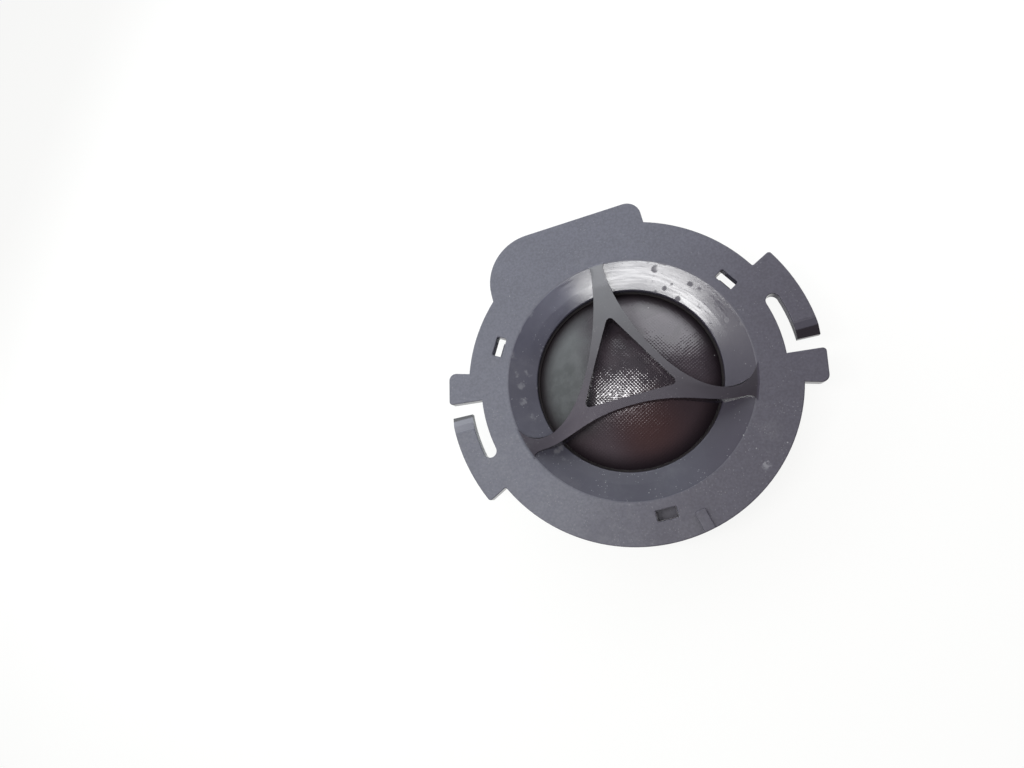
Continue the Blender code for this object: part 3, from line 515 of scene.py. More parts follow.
def plate_gloss(g, sunk, raised, grain):
    """Roughness: grained flange, satin funnel with turning streaks, dull guard with polished edges."""
    x, y, _ = g.axes()
    radius = g.radius()
    turn = g.times(g.math("ARCTAN2", y, x), 0.004)
    around = g.node("CombineXYZ", 0, None, X=g.times(radius, 3.0), Y=turn)
    streak = g.step(g.noise(900.0, 4.0, 0.65, around), 0.3, 0.7)
    streaky = g.times(g.step(y, 0.002, 0.008), g.step(x, -0.012, -0.006))
    polish = g.blend(streaky, 0.24, g.range(streak, 0.12, 0.25))
    rough = g.blend(sunk, g.range(grain, 0.52, 0.68), polish)
    rough = g.blend(raised, rough, 0.52)
    sideways, lobewards, _ = g.split(g.facing)
    worn = g.times(raised, g.side(0.990, 0.978), g.step(radius, 0.0110, 0.0090))
    worn = g.times(worn, g.step(sideways, -0.04, -0.12), g.step(x, -0.001, 0.001))
    flare = g.times(raised, g.side(0.985, 0.93), g.step(radius, 0.0150, 0.0162))
    flare = g.times(flare, g.step(lobewards, 0.06, 0.20))
    return g.blend(g.larger(worn, flare), rough, 0.16)


def dried_drops(g, sunk):
    """Dull spots that drops have left in the gloss of the upper funnel."""
    x, y, _ = g.axes()
    uneven = g.plus(g.times(g.noise(700.0, 2.0), 0.25), g.times(g.noise(330.0, 2.0), 0.9))
    drops = g.step(g.plus(g.voronoi(500.0), g.minus(uneven, 0.45)), 0.40, 0.30)
    wetter = g.times(g.step(y, 0.002, 0.007), g.step(g.noise(190.0, 2.0), 0.36, 0.44))
    return g.times(drops, sunk, wetter, g.step(x, -0.003, -0.001))


def finger_ramps(g):
    """The spring fingers' sloped tips and their colour of painted light and shade: paler on the left finger,
    whose ramp faces the light, and near black on the steeper facets.
    """
    x, y, z = g.axes()
    ramp = g.times(g.step(g.math("ABSOLUTE", x), FINGER_R - 0.0004, FINGER_R - 0.0001),
                   g.step(g.math("ABSOLUTE", y), RAMP_REACH + 0.0002, RAMP_REACH),
                   g.step(z, FRONT_Z - 0.00002, FRONT_Z - 0.00008))
    left = g.step(x, 0.01, -0.01)
    deep = g.step(g.plus(z, g.times(left, 0.00035)), FRONT_Z - 0.00022, FRONT_Z - 0.00032)
    shallow = g.mix(left, (0.052, 0.048, 0.064), (0.118, 0.116, 0.140))
    return ramp, g.mix(deep, shallow, (0.014, 0.011, 0.016))


def plate_material():
    """Fine matte moulded plastic, satin in the funnel and on the guard, with dust and dried drops, and
    painted light and shade in its colour and reflection.
    """
    g = Graph("plate_plastic")
    x, y, z = g.axes()
    radius = g.radius()
    sunk = g.times(g.step(radius, FUNNEL_R + 0.0001, FUNNEL_R - 0.0002),
                   g.step(z, FRONT_Z - 0.00001, FRONT_Z - 0.00008))
    raised = g.times(g.step(z, FRONT_Z + 0.00005, FRONT_Z + 0.0003),
                     g.step(radius, FUNNEL_R + 0.0012, FUNNEL_R + 0.0006))
    upper = g.step(g.plus(y, g.times(x, 0.25)), -0.008, 0.014)
    grain = g.noise(5200.0, 2.0, 0.6)
    fine = g.noise(2600.0, 3.0, 0.6)
    colour = plate_colour(g, sunk, raised, upper, fine)
    colour, dust = plate_dirt(g, colour, sunk, fine)
    rough = plate_gloss(g, sunk, raised, grain)
    ramp, ramp_light_and_shade = finger_ramps(g)
    # Painted light and shade on the fingers' sloped tips.
    colour = g.mix(ramp, colour, ramp_light_and_shade)
    rough = g.blend(ramp, rough, 0.22)
    side = g.side()
    # Painted shade: the guard's upright walls are darkened.
    colour = g.mix(g.times(side, raised), colour, (0.022, 0.019, 0.023))
    rough = g.blend(side, rough, g.blend(g.step(radius, 0.0225, 0.0235), 0.24, 0.10))
    rough = g.plus(rough, g.plus(g.times(dust, 0.22), g.times(dried_drops(g, sunk), 0.28)))
    smooth = g.larger(sunk, g.times(raised, 0.9))
    height = g.plus(g.times(grain, g.blend(smooth, 1.0, 0.10)), g.times(dust, 1.5))
    normal = g.bump(height, 0.000018, 0.6)
    # Painted shade in the reflection: dimmed on the guard's lower side, dimmed and bluer in the funnel's
    # upper left.
    guard_painted_shade = g.times(raised, g.minus(1.0, upper))
    funnel_painted_shade = g.times(g.step(x, -0.003, -0.008), g.step(y, 0.006, 0.011), sunk)
    tint = g.mix(guard_painted_shade, g.mix(funnel_painted_shade, WHITE, (0.66, 0.68, 0.80)), (0.76, 0.70, 0.78))
    g.set(IOR=1.60)
    return g.use(Base_Color=colour, Roughness=rough, Normal=normal, Specular_Tint=tint)


def plain_weave(g):
    """Height of a plain weave: crossing threads that rise and fall."""
    settings = {"rotation_type": "Z_AXIS"}
    cloth = g.node("VectorRotate", 0, settings, Vector=g.place, Angle=math.radians(WEAVE_TURN))
    across, along, _ = g.split(cloth)
    waves = [g.math("SINE", g.times(way, math.pi / WEAVE_PITCH)) for way in (across, along)]
    return g.times(*[g.math("ABSOLUTE", wave) for wave in waves])


def cloth_material():
    """Plain-woven cloth under a thin glossy damping coat, thicker and smoother in places, with a painted
    sheen on the thick coat's upper part and painted shade towards the rim.
    """
    g = Graph("coated_cloth")
    x, y, _ = g.axes()
    cloud = g.noise(260.0, 4.0, 0.6)
    border = g.minus(g.plus(x, g.times(cloud, 0.004)), g.times(g.larger(y, 0.0), 0.22))
    thick = g.times(g.step(border, -0.0010, -0.0080), g.step(y, -0.0090, -0.0045))
    pooled = g.step(g.noise(240.0, 2.0, 0.5, None, 0.4), 0.56, 0.60)
    wet = g.times(pooled, g.step(y, 0.001, 0.004), g.step(x, -0.001, 0.001))
    rim = g.step(g.radius(), 0.0116, 0.0149)
    low = g.step(y, -0.0028, -0.0060)
    thin = g.times(g.step(x, 0.0, 0.0050), g.step(y, 0.0030, 0.0))
    fade = g.times(g.step(y, -0.0030, 0.0022), g.step(x, 0.0060, 0.0030), g.step(x, -0.0075, -0.0050))

    colour = g.mix(g.step(cloud, 0.3, 0.7), (0.031, 0.025, 0.031), (0.047, 0.037, 0.044))
    lower = g.mix(g.step(x, -0.001, -0.0065), (0.042, 0.029, 0.034), (0.062, 0.048, 0.055))
    colour = g.mix(low, colour, lower)
    colour = g.mix(g.near(0.0012, -0.0086, 0.001, 0.0078), colour, (0.050, 0.027, 0.027))
    blotch = g.step(g.noise(620.0, 3.0, 0.6), 0.35, 0.65)
    thick_coat_and_sheen = g.mix(blotch, (0.014, 0.015, 0.016), (0.030, 0.031, 0.033))
    # Painted sheen: the thick coat's upper part is lightened.
    thick_coat_and_sheen = g.mix(g.times(g.step(y, 0.003, 0.011), 0.7), thick_coat_and_sheen, (0.064, 0.066, 0.070))
    colour = g.mix(thick, colour, thick_coat_and_sheen)
    # Painted shade: the cloth darkens towards the rim, under the lip.
    colour = g.mix(rim, colour, (0.009, 0.006, 0.008))
    lint = g.times(g.step(g.voronoi(800.0), 0.12, 0.05), g.step(g.noise(380.0, 2.0), 0.60, 0.66))
    colour = g.mix(g.times(lint, 0.6), colour, (0.45, 0.45, 0.44))
    colour = g.mix(g.times(wet, 0.35), colour, (0.010, 0.008, 0.008))

    rough = g.plus(g.blend(thick, 0.13, 0.32), g.times(g.plus(cloud, wet), 0.08))
    rough = g.blend(low, rough, 0.30)
    rough = g.blend(rim, rough, 0.60)
    depth = g.times(g.blend(thick, 1.0, 0.10), g.blend(wet, 1.0, 0.45))
    depth = g.times(depth, g.range(g.step(g.noise(1300.0, 2.0), 0.3, 0.7), 0.45, 1.55))
    depth = g.times(depth, g.blend(g.step(y, 0.001, 0.006), 1.0, 0.6))
    normal = g.bump(g.times(plain_weave(g), depth), 0.000024, 1.0)
    tint = g.mix(g.larger(low, thin), (0.54, 0.51, 0.55), (0.26, 0.22, 0.24))
    tint = g.mix(thick, tint, WHITE)
    coat = g.math("MINIMUM", g.blend(thin, 1.0, 0.30), g.blend(fade, 1.0, 0.46))
    coat = g.minus(g.times(g.blend(low, 1.0, 0.06), coat), g.larger(thick, rim))
    g.set(IOR=1.5, Coat_Roughness=0.05, Coat_IOR=1.6)
    return g.use(Base_Color=colour, Roughness=rough, Normal=normal, Coat_Normal=normal, Specular_Tint=tint,
                 Coat_Weight=coat)


def surround_material():
    """The same cloth without the coat: matte and fine, very dark partly by its own colour and partly by
    painted shade under the lip.
    """
    g = Graph("surround_cloth")
    weave = g.noise(3200.0, 2.0, 0.6)
    cloud = g.step(g.noise(300.0, 3.0, 0.6), 0.3, 0.7)
    g.set(Specular_IOR_Level=0.25)
    return g.use(Base_Color=g.mix(cloud, (0.006, 0.004, 0.005), (0.010, 0.007, 0.008)),
                 Roughness=g.range(weave, 0.60, 0.80), Normal=g.bump(weave, 0.00002, 0.6))


def housing_material():
    """Dark moulded plastic with a fine spark-eroded grain."""
    g = Graph("housing_plastic")
    grain = g.noise(4200.0, 2.0, 0.6)
    cloud = g.step(g.noise(120.0, 4.0, 0.6), 0.3, 0.7)
    colour = g.mix(cloud, (0.030, 0.030, 0.034), (0.044, 0.044, 0.048))
    scuff = g.step(g.noise(900.0, 4.0, 0.7, distortion=1.5), 0.66, 0.78)
    colour = g.mix(g.times(scuff, 0.35), colour, (0.13, 0.13, 0.13))
    return g.use(Base_Color=colour, Roughness=g.range(grain, 0.42, 0.58), Normal=g.bump(grain, 0.00002, 0.6))


def metal_material(name, colour, worn, roughness):
    """Plated or drawn metal with faint brushing."""
    g = Graph(name)
    stretched = g.node("Mapping", 0, None, Vector=g.place, Scale=(1.0, 1.0, 14.0))
    brush = g.noise(900.0, 3.0, 0.6, stretched)
    cloud = g.step(g.noise(300.0, 3.0, 0.6), 0.35, 0.7)
    g.set(Metallic=1.0)
    return g.use(Base_Color=g.mix(cloud, colour, worn),
                 Roughness=g.range(brush, roughness - 0.08, roughness + 0.12),
                 Normal=g.bump(brush, 0.000006, 0.5))


def soft_material(name, colour, second, roughness, scale):
    """Felt, rubber, film or ring plastic: two close tones over a fine grain."""
    g = Graph(name)
    grain = g.noise(scale, 3.0, 0.6)
    return g.use(Base_Color=g.mix(g.step(grain, 0.3, 0.7), colour, second),
                 Roughness=g.range(grain, roughness - 0.06, roughness + 0.08),
                 Normal=g.bump(grain, 0.00002, 0.5))


def bayonet_outline(turn):
    """One tab, its slot and its spring finger, anticlockwise."""
    def at(radius, degrees):
        return polar(radius, degrees + turn)

    foot, back, front = at(FLANGE_R, TAB_START), at(TAB_R, TAB_START), at(TAB_R, TAB_END)
    points = [foot]
    points += round_corner(foot, back, front, TAB_BACK_ROUND)
    points += round_corner(back, front, at(SLOT_R, TAB_END), TAB_FRONT_ROUND)
    points += arc(SLOT_R, TAB_END + turn, SLOT_END + turn)
    points += arc((FINGER_R - SLOT_R) / 2.0, SLOT_END + turn + 180.0, SLOT_END + turn, 7.5,
                  at((SLOT_R + FINGER_R) / 2.0, SLOT_END))[1:-1]
    points += arc(FINGER_R, SLOT_END + turn, FINGER_TIP + turn)
    last = FINGER_ROOT - 1.0
    points += arc(FINGER_OUT_R, FINGER_TIP + turn, last + turn)
    root, corner = at(FINGER_OUT_R, FINGER_ROOT), at(FLANGE_R, FINGER_ROOT)
    points += round_corner(at(FINGER_OUT_R, last), root, corner, ROOT_ROUND, 5)
    start, end = at(FLANGE_R + ROOT_FILLET, FINGER_ROOT), at(FLANGE_R, FINGER_ROOT + ROOT_TURN)
    return points + bezier(start, corner, corner, end, 6)


def plate_outline():
    """Outer edge of the front plate, anticlockwise."""
    lobe_from = math.degrees(math.acos(LOBE_RIGHT / FLANGE_R))
    lobe_to = math.degrees(math.acos(-LOBE_LEFT / FLANGE_R))
    right = (LOBE_RIGHT - LOBE_RIGHT_FILLET, LOBE_Y - LOBE_RIGHT_FILLET)
    left = (LOBE_LEFT_FILLET - LOBE_LEFT, LOBE_Y - LOBE_LEFT_FILLET)
    points = bayonet_outline(0.0)
    points += arc(FLANGE_R, FINGER_ROOT + ROOT_TURN, lobe_from)[1:]
    points += arc(LOBE_RIGHT_FILLET, 0.0, 90.0, 9.0, right)
    points += arc(LOBE_LEFT_FILLET, 90.0, 180.0, 5.0, left)
    points += arc(FLANGE_R, lobe_to, TAB_START + 180.0)[:-1]
    points += bayonet_outline(180.0)
    points += arc(FLANGE_R, FINGER_ROOT + ROOT_TURN + 180.0, TAB_START + 360.0)[1:-1]
    return points


def window_outline(degrees):
    near, far, half = WINDOW_R, WINDOW_R + WINDOW_WIDTH, WINDOW_LENGTH / 2.0
    corners = [(near, -half), (far, -half), (far, half), (near, half)]
    spin = Matrix.Rotation(math.radians(degrees), 2)
    return rounded([tuple(spin @ Vector(c)) for c in corners], WINDOW_ROUND, 3)


def funnel_profile():
    """The sunk funnel: two shallow cones that meet in a soft crease, with a soft rim and a rounded lip."""
    rim, lip = 0.00012, 0.0002
    over, under = FRONT_Z + OVERCUT, LIP_Z - OVERCUT / 2.0
    crease = (CREASE_R, FRONT_Z - CREASE_DROP)
    slope = CREASE_DROP / (FUNNEL_R - CREASE_R)
    steep = (crease[1] - OPENING_Z) / (CREASE_R - OPENING_R)
    edge = (OPENING_R + lip, OPENING_Z + steep * lip)
    points = [(0.0, over), (FUNNEL_R + rim, over), (FUNNEL_R + rim, FRONT_Z)]
    points.append((FUNNEL_R - rim, FRONT_Z - slope * rim))
    points += round_corner(points[-1], crease, edge, CREASE_ROUND, 6)
    points.append(edge)
    points += bezier(edge, (OPENING_R + lip / 3.0, edge[1] - lip / 4.0), (OPENING_R, OPENING_Z - lip / 3.0),
                     (OPENING_R, OPENING_Z - lip), 4)[1:]
    points += [(OPENING_R, under), (0.0, under)]
    return points


def ramp_cutter(turn):
    """What is missing above a spring finger's tip."""
    tip = polar(FINGER_R, FINGER_TIP)[1]
    top, past = FRONT_Z + OVERCUT, tip - RAMP_PAST
    outline = [(past, top), (past, FRONT_Z - RAMP_DEPTH), (tip + RAMP_BEND, FRONT_Z - RAMP_BEND_DEPTH),
               (tip + RAMP_LENGTH, FRONT_Z), (tip + RAMP_LENGTH, top)]
    cutter = slab("ramp", outline, RAMP_HALF_WIDTH, 90.0)
    cutter.data.transform(Matrix.Translation((RAMP_X, 0.0, 0.0)))
    cutter.data.transform(Matrix.Rotation(math.radians(turn), 4, "Z"))
    return cutter


def make_plate(material):
    """Flange, lobe, tabs, fingers, windows and funnel in one moulding."""
    outlines = [plate_outline()] + [window_outline(d) for d in WINDOW_DEGS]
    plate = flat("plate_moulding", outlines, FLANGE_Z, FRONT_Z, EDGE)
    edge = 0.0001
    boss = [(0.0, OPENING_Z), (BOSS_R, OPENING_Z), (BOSS_R, LIP_Z + edge)]
    boss += [(BOSS_R - edge, LIP_Z), (0.0, LIP_Z)]
    combine(plate, "UNION", turned("boss", boss))
    combine(plate, "DIFFERENCE", turned("funnel", funnel_profile(), 192))
    combine(plate, "DIFFERENCE", ramp_cutter(0.0), ramp_cutter(180.0))
    half, end = KEY_WIDTH / 2.0, FLANGE_R - edge
    corners = [(KEY_R, -half), (end, -half), (end, half), (KEY_R, half)]
    key = flat("key", [rounded(corners, KEY_ROUND)], FRONT_Z - KEY_SINK, FRONT_Z + KEY_HEIGHT, KEY_EDGE)
    key.data.transform(Matrix.Rotation(math.radians(KEY_DEG), 4, "Z"))
    combine(plate, "UNION", key)
    shade(plate, 9.0)
    dress(plate, material, "frame", "front_plate")


def crown_height(x, y):
    return FRONT_Z + GUARD_RISE * (1.0 - (math.hypot(x, y) / CROWN_R) ** 3)


def under_height(x, y):
    """Underside of the guard: flat over the dome, then down into the funnel wall."""
    radius = math.hypot(x, y)
    for (r0, z0), (r1, z1) in zip(UNDERSIDE, UNDERSIDE[1:]):
        if radius <= r1:
            return z0 + (z1 - z0) * (radius - r0) / (r1 - r0)
    return UNDERSIDE[-1][1]


def guard_paths():
    """Outer edges of the guard's right and bottom strips, and the middle lines that the strips share."""
    corners = [round_corner(HOLE[i - 1], HOLE[i], HOLE[(i + 1) % 3], HOLE_ROUND, 8) for i in range(3)]
    top_mid, right_mid = corners[0][4], corners[2][4]
    top_line = resample([(0.0, GUARD_END_R), top_mid], ARM_COUNT)
    right_line = bezier(polar(GUARD_END_R, SIDE_ARM_DEG), (0.0172, -0.0074), (0.0130, -0.0066), right_mid, 40)
    right_line = resample(right_line, ARM_COUNT)
    right_side = resample(corners[0][4::-1] + corners[2][:3:-1], BAR_COUNT)
    half_bottom = resample(corners[2][4::-1] + [(0.0, HOLE[2][1])], BAR_COUNT // 2)
    bottom_side = half_bottom + mirrored(half_bottom)[-2::-1]

    top, narrow = (TOP_ARM_HALF, TOP_ARM_Y), (SIDE_ARM_X, -SIDE_ARM_UPPER)
    head = bezier((0.0019, 0.02051), (0.0013, 0.0203), (TOP_ARM_HALF, 0.0199), top, 8)
    long_edge = bezier(top, (TOP_ARM_HALF, 0.0095), (0.00745, -SIDE_ARM_UPPER), narrow, 60)
    end = polar(FUNNEL_R, SIDE_UPPER_DEG)
    flare = bezier(narrow, (0.0173, -SIDE_ARM_UPPER), (0.0190, -0.0050), end, 14)
    edge = head[:-1] + long_edge + flare[1:] + [polar(GUARD_END_R, SIDE_UPPER_DEG + 1.1)]
    split_top, split_side = len(head) + 14, len(head) + 46
    top_arm = resample(edge[:split_top + 1], ARM_COUNT)
    bar = resample(edge[split_top:split_side + 1], BAR_COUNT)
    side_arm = resample(edge[split_side:], ARM_COUNT)

    narrow, end = (SIDE_ARM_X, -SIDE_ARM_LOWER), polar(FUNNEL_R, SIDE_LOWER_DEG)
    low_edge = [polar(GUARD_END_R, SIDE_LOWER_DEG - 0.6)]
    low_edge += bezier(end, (0.0180, -0.0080), (0.0172, -SIDE_ARM_LOWER), narrow, 10)
    low_edge += bezier(narrow, (0.0110, -SIDE_ARM_LOWER), (0.0080, -BAR_EDGE), (0.0, -BAR_EDGE), 40)[1:]
    split_low = 28
    low_arm = resample(low_edge[:split_low + 1], ARM_COUNT)
    low_half = resample(low_edge[split_low:], BAR_COUNT // 2)
    low_bar = low_half + mirrored(low_half)[-2::-1]

    right = (joined((top_arm, bar, side_arm)), joined((top_line, right_side, right_line[::-1])))
    bottom = (joined((low_arm, low_bar, mirrored(low_arm)[::-1])),
              joined((right_line, bottom_side, mirrored(right_line)[::-1])))
    return right, bottom


def make_guard(material):
    """The crowned guard: three strips between the outer edges and the middle lines, made solid."""
    right, bottom = guard_paths()
    left = (mirrored(right[0]), mirrored(right[1]))
    work = bmesh.new()
    for outer, inner in (right, bottom, left):
        rows = [(work.verts.new((*a, 0.0)), work.verts.new((*b, 0.0))) for a, b in zip(outer, inner)]
        for row, after in zip(rows, rows[1:]):
            work.faces.new((row[0], row[1], after[1], after[0]))
    bmesh.ops.remove_doubles(work, verts=work.verts, dist=4.0 * WELD)
    lower = list(work.verts)
    made = bmesh.ops.extrude_face_region(work, geom=work.faces[:], use_keep_orig=True)
    upper = {v for v in made["geom"] if isinstance(v, bmesh.types.BMVert)}
    for v in upper:
        v.co.z = crown_height(v.co.x, v.co.y)
    for v in lower:
        v.co.z = under_height(v.co.x, v.co.y)
    for v in work.verts:
        v.co.x -= GUARD_LEAN * max(0.0, 1.0 - (math.hypot(v.co.x, v.co.y) / FUNNEL_R) ** 2)
    bmesh.ops.recalc_face_normals(work, faces=work.faces)
    weights = work.edges.layers.float.new("bevel_weight_edge")
    for edge in work.edges:
        if edge.calc_face_angle(0.0) > math.radians(50.0) and math.hypot(*edge.verts[0].co.xy) < FUNNEL_R:
            edge[weights] = 1.0 if all(v in upper for v in edge.verts) else 0.35
    mesh = bpy.data.meshes.new("guard")
    work.to_mesh(mesh)
    work.free()
    guard = new_object("guard", mesh)
    modifier = guard.modifiers.new("edges", "BEVEL")
    modifier.width = GUARD_EDGE
    modifier.segments = 5
    modifier.limit_method = "WEIGHT"
    modifier.use_clamp_overlap = True
    shade(bake(guard), 40.0)
    dress(guard, material, "frame", "front_plate")


def make_latches(material):
    """Three clips under the windows that hold the housing's ledge."""
    inner, outer, top = LATCH_INNER_R, LATCH_OUTER_R, FLANGE_Z + LATCH_SINK
    barb = LEDGE_Z - LATCH_BARB
    toe = barb - LATCH_TOE
    shelf = FLANGE_Z - LATCH_SHELF
    for degrees, lip, half in zip(WINDOW_DEGS, LATCH_LIP_R, LATCH_HALF):
        outline = [(outer, top), (inner, top), (inner, barb), (inner - LATCH_HOOK, barb), (inner, toe),
                   (lip, toe), (lip, shelf), (outer, shelf)]
        latch = slab("latch_" + str(round(degrees)), outline, half, degrees, LATCH_EDGE)
        shade(latch)
        dress(latch, material, "frame", "front_plate")


def housing_cuts():
    """The hollows of the rear housing: bore, capacitor bay, socket, lock window, lead slot and pin holes."""
    ease, over = 0.0004, RIM_Z + OVERCUT
    bore = [(0.0, over), (HOUSING_BORE_R + ease, over), (HOUSING_BORE_R + ease, RIM_Z),
            (HOUSING_BORE_R, RIM_Z - ease), (HOUSING_BORE_R, HOUSING_FLOOR + ease),
            (HOUSING_BORE_R - ease, HOUSING_FLOOR), (0.0, HOUSING_FLOOR)]
    low_y, wall_r = BOX_START_Y + 0.0012, HOUSING_R + 0.0002
    wall_from = 180.0 - math.degrees(math.asin(low_y / wall_r))
    wall_to = math.degrees(math.acos(BAY_RIGHT / wall_r))
    bay = [(BAY_RIGHT, BAY_Y)]
    bay += arc(BAY_FILLET, 90.0, 180.0, 7.5, (BAY_FILLET - BAY_LEFT, BAY_Y - BAY_FILLET))
    bay += [(-BAY_LEFT, low_y)]
    bay += arc(wall_r, wall_from, wall_to)
    cuts = [turned("bore", bore), flat("bay", [bay], BOX_FLOOR, over)]
    cuts.append(block("socket", (SOCKET_LEFT, SOCKET_BACK, BOX_FLOOR),
                      (SOCKET_RIGHT, BOX_Y + OVERCUT / 2.0, SOCKET_TOP)))
    cuts.append(tapered("mouth", (SOCKET_LEFT, BOX_Y - MOUTH_DEPTH, BOX_FLOOR),
                        (SOCKET_RIGHT, BOX_Y + 0.0002, SOCKET_TOP), MOUTH_FLARE))
    cuts.append(block("lock", (SOCKET_X - LOCK_HALF, LOCK_START_Y, 0.0),
                      (SOCKET_X + LOCK_HALF, LOCK_END_Y, SOCKET_Z)))
    cuts.append(block("lead_slot", (LEAD_SLOT_LEFT, TAG_Y, SOCKET_Z),
                      (LEAD_SLOT_RIGHT, HOUSING_R + ease, over)))
    for x in PIN_XS:
        cuts.append(block("pin_hole", (x - PIN_HALF_WIDTH, TAG_Y, SOCKET_Z - PIN_HALF_HEIGHT),
                          (x + PIN_HALF_WIDTH, SOCKET_BACK + PIN_REACH, SOCKET_Z + PIN_HALF_HEIGHT)))
    return cuts


def make_housing(material):
    """Round cup with a ledge and the box under the lobe, its edges rounded and its ejector marks shown."""
    edge, neck, foot = 0.0002, 0.0003, 0.0010
    profile = [(0.0, RIM_Z), (LEDGE_R - edge, RIM_Z), (LEDGE_R, RIM_Z - edge), (LEDGE_R, LEDGE_Z + edge),
               (LEDGE_R - edge, LEDGE_Z), (HOUSING_R + neck, LEDGE_Z), (HOUSING_R, LEDGE_Z - neck)]
    profile += arc(foot, 0.0, -90.0, 11.25, (HOUSING_R - foot, foot))
    profile += [*GROOVE, (0.0, 0.0)]
    housing = turned("housing_moulding", profile, 160)
    box = arc(BOX_FILLET, 0.0, 90.0, 9.0, (BOX_RIGHT - BOX_FILLET, BOX_Y - BOX_FILLET))
    box += arc(BOX_LEFT_FILLET, 90.0, 180.0, 6.0, (BOX_LEFT_FILLET - BOX_LEFT, BOX_Y - BOX_LEFT_FILLET))
    box += [(-BOX_LEFT, BOX_START_Y), (BOX_RIGHT, BOX_START_Y)]
    combine(housing, "UNION", flat("box", [box], BOX_LOW, RIM_Z, BOX_EDGE))
    combine(housing, "DIFFERENCE", *housing_cuts())
    under = -OVERCUT / 2.0
    ejector = [(0.0, EJECTOR_DEPTH), (EJECTOR_R, EJECTOR_DEPTH), (EJECTOR_R, under), (0.0, under)]
    for degrees in EJECTOR_DEGS:
        mark = turned("ejector", ejector, 40)
        mark.data.transform(Matrix.Translation((*polar(EJECTOR_PLACE_R, degrees), 0.0)))
        combine(housing, "DIFFERENCE", mark)
    shade(housing, 30.0)
    dress(housing, material, "frame", "rear_housing")


def cap_points(height, radius, base, count):
    """A spherical cap's outline from apex to rim."""
    ball = (radius ** 2 + height ** 2) / (2.0 * height)
    reach = math.asin(radius / ball)
    return [(ball * math.sin(reach * i / count), base + height - ball + ball * math.cos(reach * i / count))
            for i in range(count + 1)]


def make_dome(material):
    outer = cap_points(DOME_HEIGHT, DOME_R, DOME_Z, 40)
    inner = cap_points(DOME_HEIGHT - DOME_WALL, DOME_R - DOME_WALL, DOME_Z, 24)
    dome = turned("dome_cloth", outer + inner[::-1])
    shade(dome, 60.0, False)
    dress(dome, material, "diaphragm", "dome")


def make_surround(material):
    """Low roll of the same cloth, its crest just inside the lip, and the rim clamped under the plate."""
    wall, soft = 0.0004, 0.0001
    top = SURROUND_Z + wall
    crest = (CREST_R, top + soft)
    roll = bezier((ROLL_R, top), (ROLL_R + soft / 2.0, crest[1]), (crest[0] - soft, crest[1]), crest, 8)
    roll += bezier(crest, (crest[0] + soft, crest[1]), (OPENING_R, LIP_Z), (OPENING_R + 0.0002, top), 8)[1:]
    upper = roll + [(CLAMP_R, top)]
    lower = [(CLAMP_R, SURROUND_Z)] + [(r, z - wall) for r, z in reversed(roll)]
    surround = turned("surround_roll", upper + lower, ring=True)
    shade(surround, 50.0, False)
    dress(surround, material, "frame", "surround")


def make_sky():
    """Dim light from all sides, paler towards the lobe's left; plain and pale where the camera sees it."""
    world = bpy.data.worlds.new("studio")
    bpy.context.scene.world = world
    world.use_nodes = True
    sky = world.node_tree
    towards = sky.nodes.new("ShaderNodeTexCoord")
    side = sky.nodes.new("ShaderNodeVectorMath")
    side.operation = "DOT_PRODUCT"
    side.inputs[1].default_value = SKY_TOWARDS
    shift = sky.nodes.new("ShaderNodeMapRange")
    shift.inputs["From Min"].default_value = SKY_FROM
    shift.inputs["From Max"].default_value = SKY_TO
    tone = sky.nodes.new("ShaderNodeMix")
    tone.data_type = "RGBA"
    tone.inputs[6].default_value = (*SKY_DARK, 1.0)
    tone.inputs[7].default_value = (*SKY_LIGHT, 1.0)
    sky.links.new(towards.outputs["Generated"], side.inputs[0])
    sky.links.new(side.outputs["Value"], shift.inputs["Value"])
    sky.links.new(shift.outputs["Result"], tone.inputs[0])
    light = sky.nodes.new("ShaderNodeLightPath")
    seen = sky.nodes.new("ShaderNodeMix")
    seen.data_type = "RGBA"
    seen.inputs[7].default_value = (*SKY_SEEN, 1.0)
    sky.links.new(light.outputs["Is Camera Ray"], seen.inputs[0])
    sky.links.new(tone.outputs[2], seen.inputs[6])
    sky.links.new(seen.outputs[2], sky.nodes["Background"].inputs[0])


def make_floor():
    """Pale floor that looks white in the open and keeps the object's shadow."""
    floor = new_object("floor", bpy.data.meshes.new("floor"))
    work = bmesh.new()
    bmesh.ops.create_grid(work, x_segments=1, y_segments=1, size=FLOOR_HALF)
    work.to_mesh(floor.data)
    work.free()
    floor.location.z = FLOOR_Z
    g = Graph("floor_white")
    g.set(Base_Color=(0.93, 0.93, 0.92, 1.0), Roughness=0.7)
    open_floor = g.times(g.step(g.radius(), GLOW_START_R, GLOW_FULL_R), GLOW_SHARE)
    light = g.tree.nodes.new("ShaderNodeLightPath")
    glow = g.node("Emission", 0, None, Color=(1.0, 1.0, 0.99, 1.0), Strength=1.0)
    seen = g.larger(light.outputs["Is Camera Ray"], light.outputs["Is Glossy Ray"])
    both = g.node("MixShader", 0, None, i0=g.times(seen, open_floor), i1=g.shader.outputs[0], i2=glow)
    g.tree.links.new(both, g.tree.nodes["Material Output"].inputs[0])
    floor.data.materials.append(g.mat)


def make_lamp(name, towards, distance, size, power, colour, along):
    """A soft rectangular lamp that faces the part."""
    lamp = bpy.data.lights.new(name, "AREA")
    lamp.shape = "RECTANGLE"
    lamp.size, lamp.size_y = size
    lamp.energy = power
    lamp.color = colour
    obj = new_object(name, lamp)
    spot = Vector(towards).normalized()
    obj.location = spot * distance + Vector((0.0, 0.0, FRONT_Z))
    across = spot.cross(Vector((*polar(1.0, along), 0.0))).normalized()
    axes = Matrix((across.cross(spot), across, spot)).transposed()
    obj.rotation_euler = axes.to_euler()
    obj.visible_camera = False


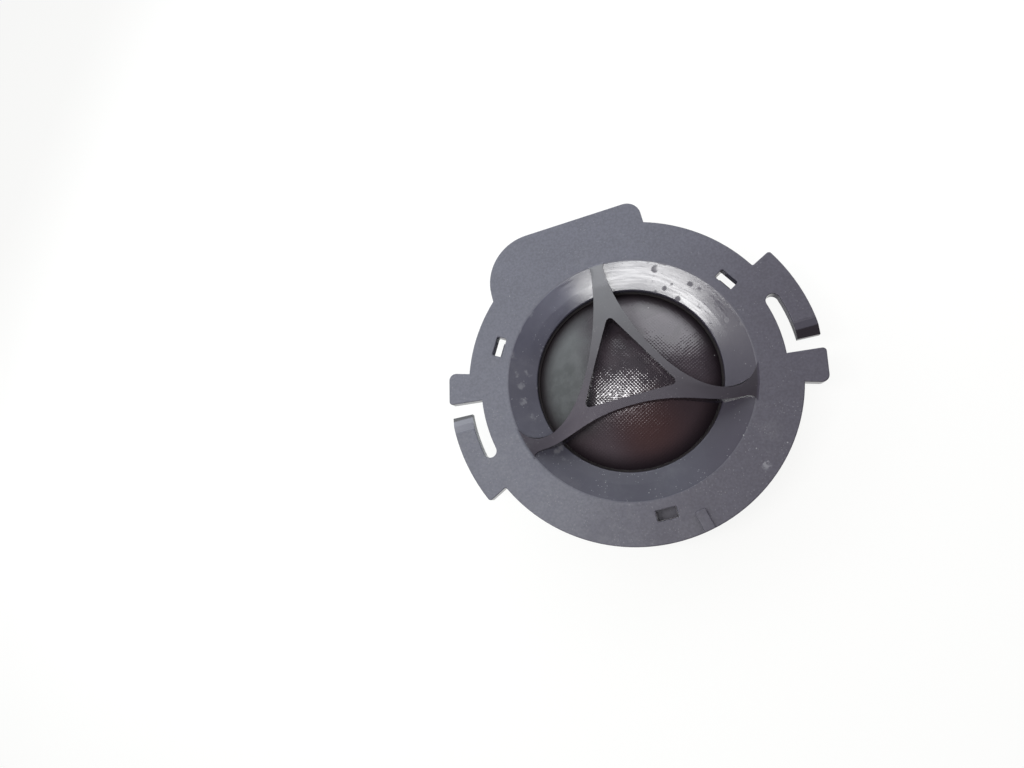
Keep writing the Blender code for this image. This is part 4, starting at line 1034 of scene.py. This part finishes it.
def make_camera():
    """The photograph's camera."""
    camera = bpy.data.cameras.new("camera")
    camera.sensor_width = SENSOR_WIDTH
    camera.lens = FOCAL_PIXELS * SENSOR_WIDTH / PHOTO_WIDTH
    camera.clip_start = 0.005
    view = new_object("camera", camera)
    view.location = CAMERA_PLACE
    view.rotation_euler = [math.radians(turn) for turn in CAMERA_TURN]
    bpy.context.scene.camera = view


def finish_inner_nodes():
    """Materials for the CAD nodes that keep their own shape."""
    copper = metal_material("enamelled_copper", (0.60, 0.26, 0.10), (0.45, 0.18, 0.07), 0.35)
    steel = metal_material("plated_steel", (0.62, 0.61, 0.58), (0.50, 0.49, 0.46), 0.35)
    tin = metal_material("tinned_brass", (0.72, 0.70, 0.64), (0.60, 0.58, 0.52), 0.30)
    nickel = metal_material("magnet_nickel", (0.55, 0.55, 0.55), (0.45, 0.45, 0.46), 0.25)
    can = metal_material("can_metal", (0.70, 0.70, 0.72), (0.60, 0.60, 0.62), 0.30)
    ring = soft_material("ring_plastic", (0.020, 0.020, 0.022), (0.030, 0.030, 0.032), 0.45, 3000.0)
    former = soft_material("former_film", (0.45, 0.28, 0.10), (0.38, 0.22, 0.07), 0.40, 900.0)
    felt = soft_material("grey_felt", (0.16, 0.16, 0.17), (0.10, 0.10, 0.11), 0.92, 2500.0)
    sleeve = soft_material("sleeve_film", (0.03, 0.05, 0.12), (0.04, 0.07, 0.16), 0.35, 800.0)
    rubber = soft_material("bung_rubber", (0.025, 0.025, 0.025), (0.04, 0.04, 0.04), 0.70, 3000.0)
    finishes = {
        "diaphragm_ring": ring,
        "voice_coil_former": former,
        "voice_coil": copper,
        "pole_plate": steel,
        "magnet": nickel,
        "yoke_cup": steel,
        "damping_pad": felt,
        "terminal_positive": tin,
        "terminal_negative": tin,
        "coil_lead_positive": copper,
        "coil_lead_negative": copper,
        "capacitor_can": can,
        "capacitor_sleeve": sleeve,
        "capacitor_bung": rubber,
        "capacitor_lead_in": tin,
        "capacitor_lead_out": tin,
    }
    for node, material in finishes.items():
        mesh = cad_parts[node].data
        mesh.materials.clear()
        mesh.materials.append(material)


def main():
    make_sky()
    make_floor()
    for lamp in LAMPS:
        make_lamp(*lamp)
    make_camera()
    bpy.context.scene.view_settings.view_transform = "Standard"
    plate = plate_material()
    make_plate(plate)
    make_guard(plate)
    make_latches(plate)
    make_housing(housing_material())
    make_dome(cloth_material())
    make_surround(surround_material())
    finish_inner_nodes()
    bpy.context.view_layer.update()


main()
